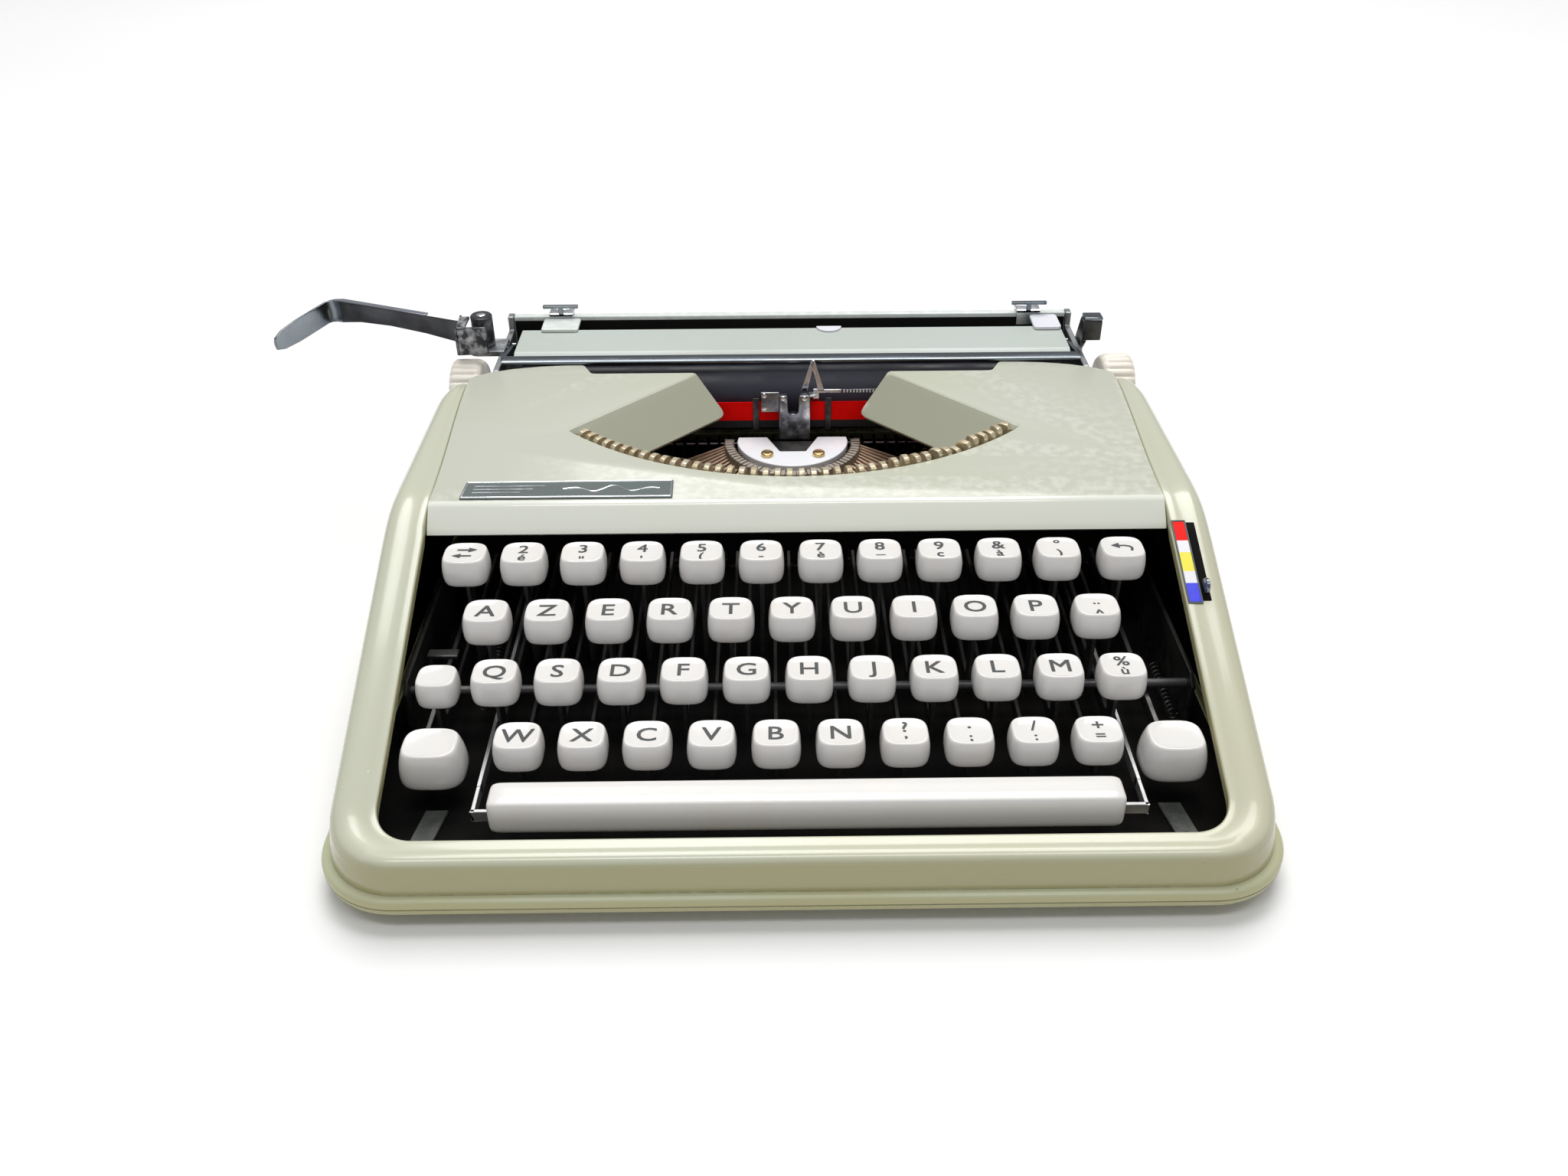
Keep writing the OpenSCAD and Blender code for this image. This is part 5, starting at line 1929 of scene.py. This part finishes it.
def buildReturnLever(s=leverSettings):
    hub = addLeverPiece(
        "leverHub",
        lathe(
            [(2.1, 65.9), (4.4, 65.9), (4.4, 77.9), (3.9, 78.4), (2.1, 78.4)], "z",
            carriageSettings["leverPivot"], 36),
        leverRootSteel, angle=40)
    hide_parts("return_lever")
    root = Shape()
    root.add(*boxShape((-134.4, 99.6, 76.6), (-130.6, 111.8, 77.9)))
    root.add(*boxShape((-134.4, 99.6, 66.3), (-122.1, 100.9, 77.9)))
    root.add(*boxShape((-134.4, 99.6, 66.3), (-133.1, 111.8, 77.9)))
    addLeverPiece("leverRoot", root, leverRootSteel, bevel=0.5, segments=3)
    # arm, elbow and paddle as one blade
    path = [
        (-134.6, 109.0), (-150, 115.4), (-166, 122.0), (-180, 127.8), (-189.0, 131.5),
        (-191.6, 132.3), (-193.6, 132.0), (-195.0, 130.6), (-198.2, 121.4), (-201.6, 111.8),
        (-204.8, 102.6), (-206.2, 98.2)]
    rows = []
    total = len(path) - 1
    for i, (x, y) in enumerate(path):
        ahead = (Vector(path[min(i + 1, total)]) - Vector(path[max(i - 1, 0)])).normalized()
        normal = Vector((-ahead.y, ahead.x))
        tip = softStep((i - total + 1.6) / 1.6)
        waist = math.sin(math.pi * min(1.0, i / 4.0)) if i < 4 else 0.0
        zLow = s["bladeLow"] + s["narrowing"] * tip + s["narrowing"] * waist
        zHigh = s["bladeHigh"] - s["narrowing"] * tip
        row = []
        # up the outer face, then down the inner one
        for upward in (True, False):
            for k in range(s["samples"] + 1):
                t = k / s["samples"] if upward else 1 - k / s["samples"]
                bow = s["bow"] * math.sin(math.pi * t)
                off = s["outerHalf"] - bow if upward else -(s["innerHalf"] + bow)
                row.append((x + normal.x * off, y + normal.y * off, zLow + (zHigh - zLow) * t))
        rows.append(row)
    verts, faces = grid(rows, closeAcross=True)
    n = len(rows[0])
    faces += [tuple(reversed(range(n))), tuple(range(len(verts) - n, len(verts)))]
    blade = Shape().add(verts, faces)
    for index in range(4 * n):
        blade.tones[index] = 1
    addLeverPiece(
        "leverBlade", blade, [leverChrome, leverRootSteel], bevel=0.25, segments=3, angle=50)
    flange = []
    for i in range(1, 7):
        x, y = path[i]
        ahead = (Vector(path[i + 1]) - Vector(path[i - 1])).normalized()
        normal = Vector((-ahead.y, ahead.x))
        reach = s["flangeReach"] if i < 5 else s["flangeReach"] - s["flangeTaper"] * (i - 4)
        a, b = Vector((x, y)) - normal * s["flangeRoot"], Vector((x, y)) - normal * reach
        if b.y < a.y:
            b = Vector((x, y)) + normal * reach
        low, high = s["flangeLow"], s["flangeTop"]
        flange.append([(a.x, a.y, low), (a.x, a.y, high), (b.x, b.y, high), (b.x, b.y, low)])
    verts, faces = grid(flange, closeAcross=True)
    faces += [(0, 1, 2, 3), tuple(range(len(verts) - 1, len(verts) - 5, -1))]
    addLeverPiece("leverFlange", (verts, faces), flangeSteel, bevel=0.2)


flangeSteel = makeFinish(
    "leverFlangeSteel", color=(0.42, 0.44, 0.49), tint=(0.30, 0.32, 0.37), tintScale=40.0,
    metallic=0.9, roughness=(0.2, 0.34), scratch=0.5, dust=0.05,
)
leverRootSteel = makeFinish(
    "leverRootSteel", color=(0.055, 0.058, 0.065), tint=(0.03, 0.03, 0.034), tintScale=80.0,
    metallic=0.6, roughness=(0.28, 0.45), wear=(0.45, 0.45, 0.47), scratch=0.5, dust=0.05,
)


def buildPaperBail(s=carriageSettings):
    strip = addBailPiece(
        "bailStrip",
        prismX(
            roundedOutline(
                [(89.5, 66.2), (89.5, 67.4), (94.6, 68.0), (94.6, 66.8)], [0.2, 0.5, 0.5, 0.2], 4),
            -115.4, 115.4),
        leverChrome, bevel=0.15)
    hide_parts("paper_bail")
    arms = Shape()
    for x in (-116.3, 114.4):
        arms.add(*prismX(
            [(92, 66.9), (96, 67.4), (119, 62.6), (119, 57.5), (116, 58.1)], x, x + 1.9))
        arms.add(*lathe(
            [(1.25, x), (3.0, x), (3.0, x + 1.9), (1.25, x + 1.9)], "x",
            (0, s["pivotY"], s["pivotZ"]), 28))
    addBailPiece("bailArms", arms, leverChrome, bevel=0.2)
    pins = Shape()
    for x0, x1 in ((-119.1, -114.5), (114.5, 119.1)):
        pins.add(*lathe([(1.48, x0), (1.48, x1)], "x", (0, s["pivotY"], s["pivotZ"]), 24))
    addBailPiece("bailPins", pins, brightSteel)


releasePlastic = makeFinish(
    "releasePlastic", color=(0.012, 0.012, 0.013), tint=(0.02, 0.02, 0.02), roughness=(0.2, 0.35),
    coat=0.3, scratch=0.3, dust=0.08, skin=0.02,
)


def buildRelease():
    x = 119.85
    arm = prismX(
        roundedOutline(
            [(118.5, 56), (125.5, 56), (116, 74), (110, 74), (110, 65)], [2, 2, 1, 0.8, 3]),
        x, x + 2.1)
    shape = Shape().add(*arm)
    shape.add(*prismX([(109, 66), (109, 74.4), (111, 74.4), (111, 66)], x, x + 7.5))
    lever = addReleasePiece("releaseLever", shape, releasePlastic, bevel=0.5, segments=3)
    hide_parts("carriage_release")
    boss = lathe(
        [(2.1, x), (4.0, x), (4.0, x + 2.1), (2.1, x + 2.1)], "x", carriageSettings["releasePivot"],
        28)
    addReleasePiece("releaseBoss", boss, releasePlastic, bevel=0.2)
    addReleasePiece(
        "releaseCap", boxShape((x, 109, 74.55), (x + 7.5, 115, 75.95)), leverChrome, bevel=0.4,
        segments=3)


def buildMarginStop(side, x):
    body = f"{side}_margin_stop"
    base = Shape()
    base.add(*boxShape((x - 4.9, 129.7, 64.5), (x + 4.9, 131.0, 71)))
    base.add(*boxShape((x - 4.9, 135.4, 64.5), (x + 4.9, 136.7, 71)))
    base.add(*boxShape((x - 4.9, 129.7, 69.7), (x + 4.9, 136.7, 71)))
    block = addPiece(f"{side}StopBase", base, brightSteel, body, "stop_chrome", bevel=0.25)
    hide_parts(body)
    head = Shape()
    head.add(*boxShape((x - 1, 129.7, 70.8), (x + 1, 130.9, 73.6)))
    head.add(*prismZ(
        roundedOutline(
            [(x - 7.4, 129.5), (x + 7.4, 129.5), (x + 7.4, 131.5), (x - 7.4, 131.5)], 0.5, 3),
        73.4, 74.6))
    addPiece(f"{side}StopHead", head, leverChrome, body, "stop_chrome", bevel=0.2)


buildCarriageFrame()
buildPaperGuides()
buildPlaten()
buildReturnLever()
buildPaperBail()
buildRelease()
buildMarginStop("left", -96.5)
buildMarginStop("right", 100.8)
print("stage: carriage built")

# floor and light

stageSettings = {
    "floorHalf": 3.0,
    "sky": (0.95, 0.96, 1.0), "skyStrength": 0.33,
    "lights": [
        ("topSoftbox", (0.10, 1.35, 2.90), (0, 0, 0), (2.2, 2.2), 88.0, (1.0, 0.99, 0.965)),
        ("lipStrip", (0.0, -0.95, 2.90), (0, 0, 0.05), (2.6, 0.55), 24.0, (1.0, 1.0, 0.985)),
        ("frontFill", (-0.7, -2.0, 1.3), (0, 0, 0.03), (1.4, 1.4), 2.0, (0.97, 0.98, 1.0)),
    ],
}


def buildStage(s=stageSettings):
    half = s["floorHalf"]
    mesh = bpy.data.meshes.new("paleFloor")
    mesh.from_pydata(
        [(-half, -half, 0), (half, -half, 0), (half, half, 0), (-half, half, 0)], [],
        [(0, 1, 2, 3)])
    mesh.materials.append(floorPaint)
    floor = bpy.data.objects.new("paleFloor", mesh)
    scene.collection.objects.link(floor)
    world = bpy.data.worlds.new("softRoom")
    world.use_nodes = True
    background = world.node_tree.nodes["Background"]
    background.inputs[0].default_value = (*s["sky"], 1)
    background.inputs[1].default_value = s["skyStrength"]
    scene.world = world
    scene.view_settings.view_transform = "Standard"
    for name, place, target, size, power, tint in s["lights"]:
        data = bpy.data.lights.new(name, "AREA")
        data.shape = "RECTANGLE"
        data.size, data.size_y = size
        data.energy = power
        data.color = tint
        light = bpy.data.objects.new(name, data)
        scene.collection.objects.link(light)
        light.location = place
        light.rotation_mode = "QUATERNION"
        light.rotation_quaternion = (Vector(target) - Vector(place)).to_track_quat("-Z", "Y")


floorPaint = makeFinish(
    "paleFloorPaint", color=(0.88, 0.88, 0.885), tint=(0.87, 0.87, 0.88), tintScale=3.0,
    roughness=(0.5, 0.6), scratch=0.0, dust=0.0, skin=0.0, specular=0.3,
)
buildStage()
print("stage: floor and lights placed")
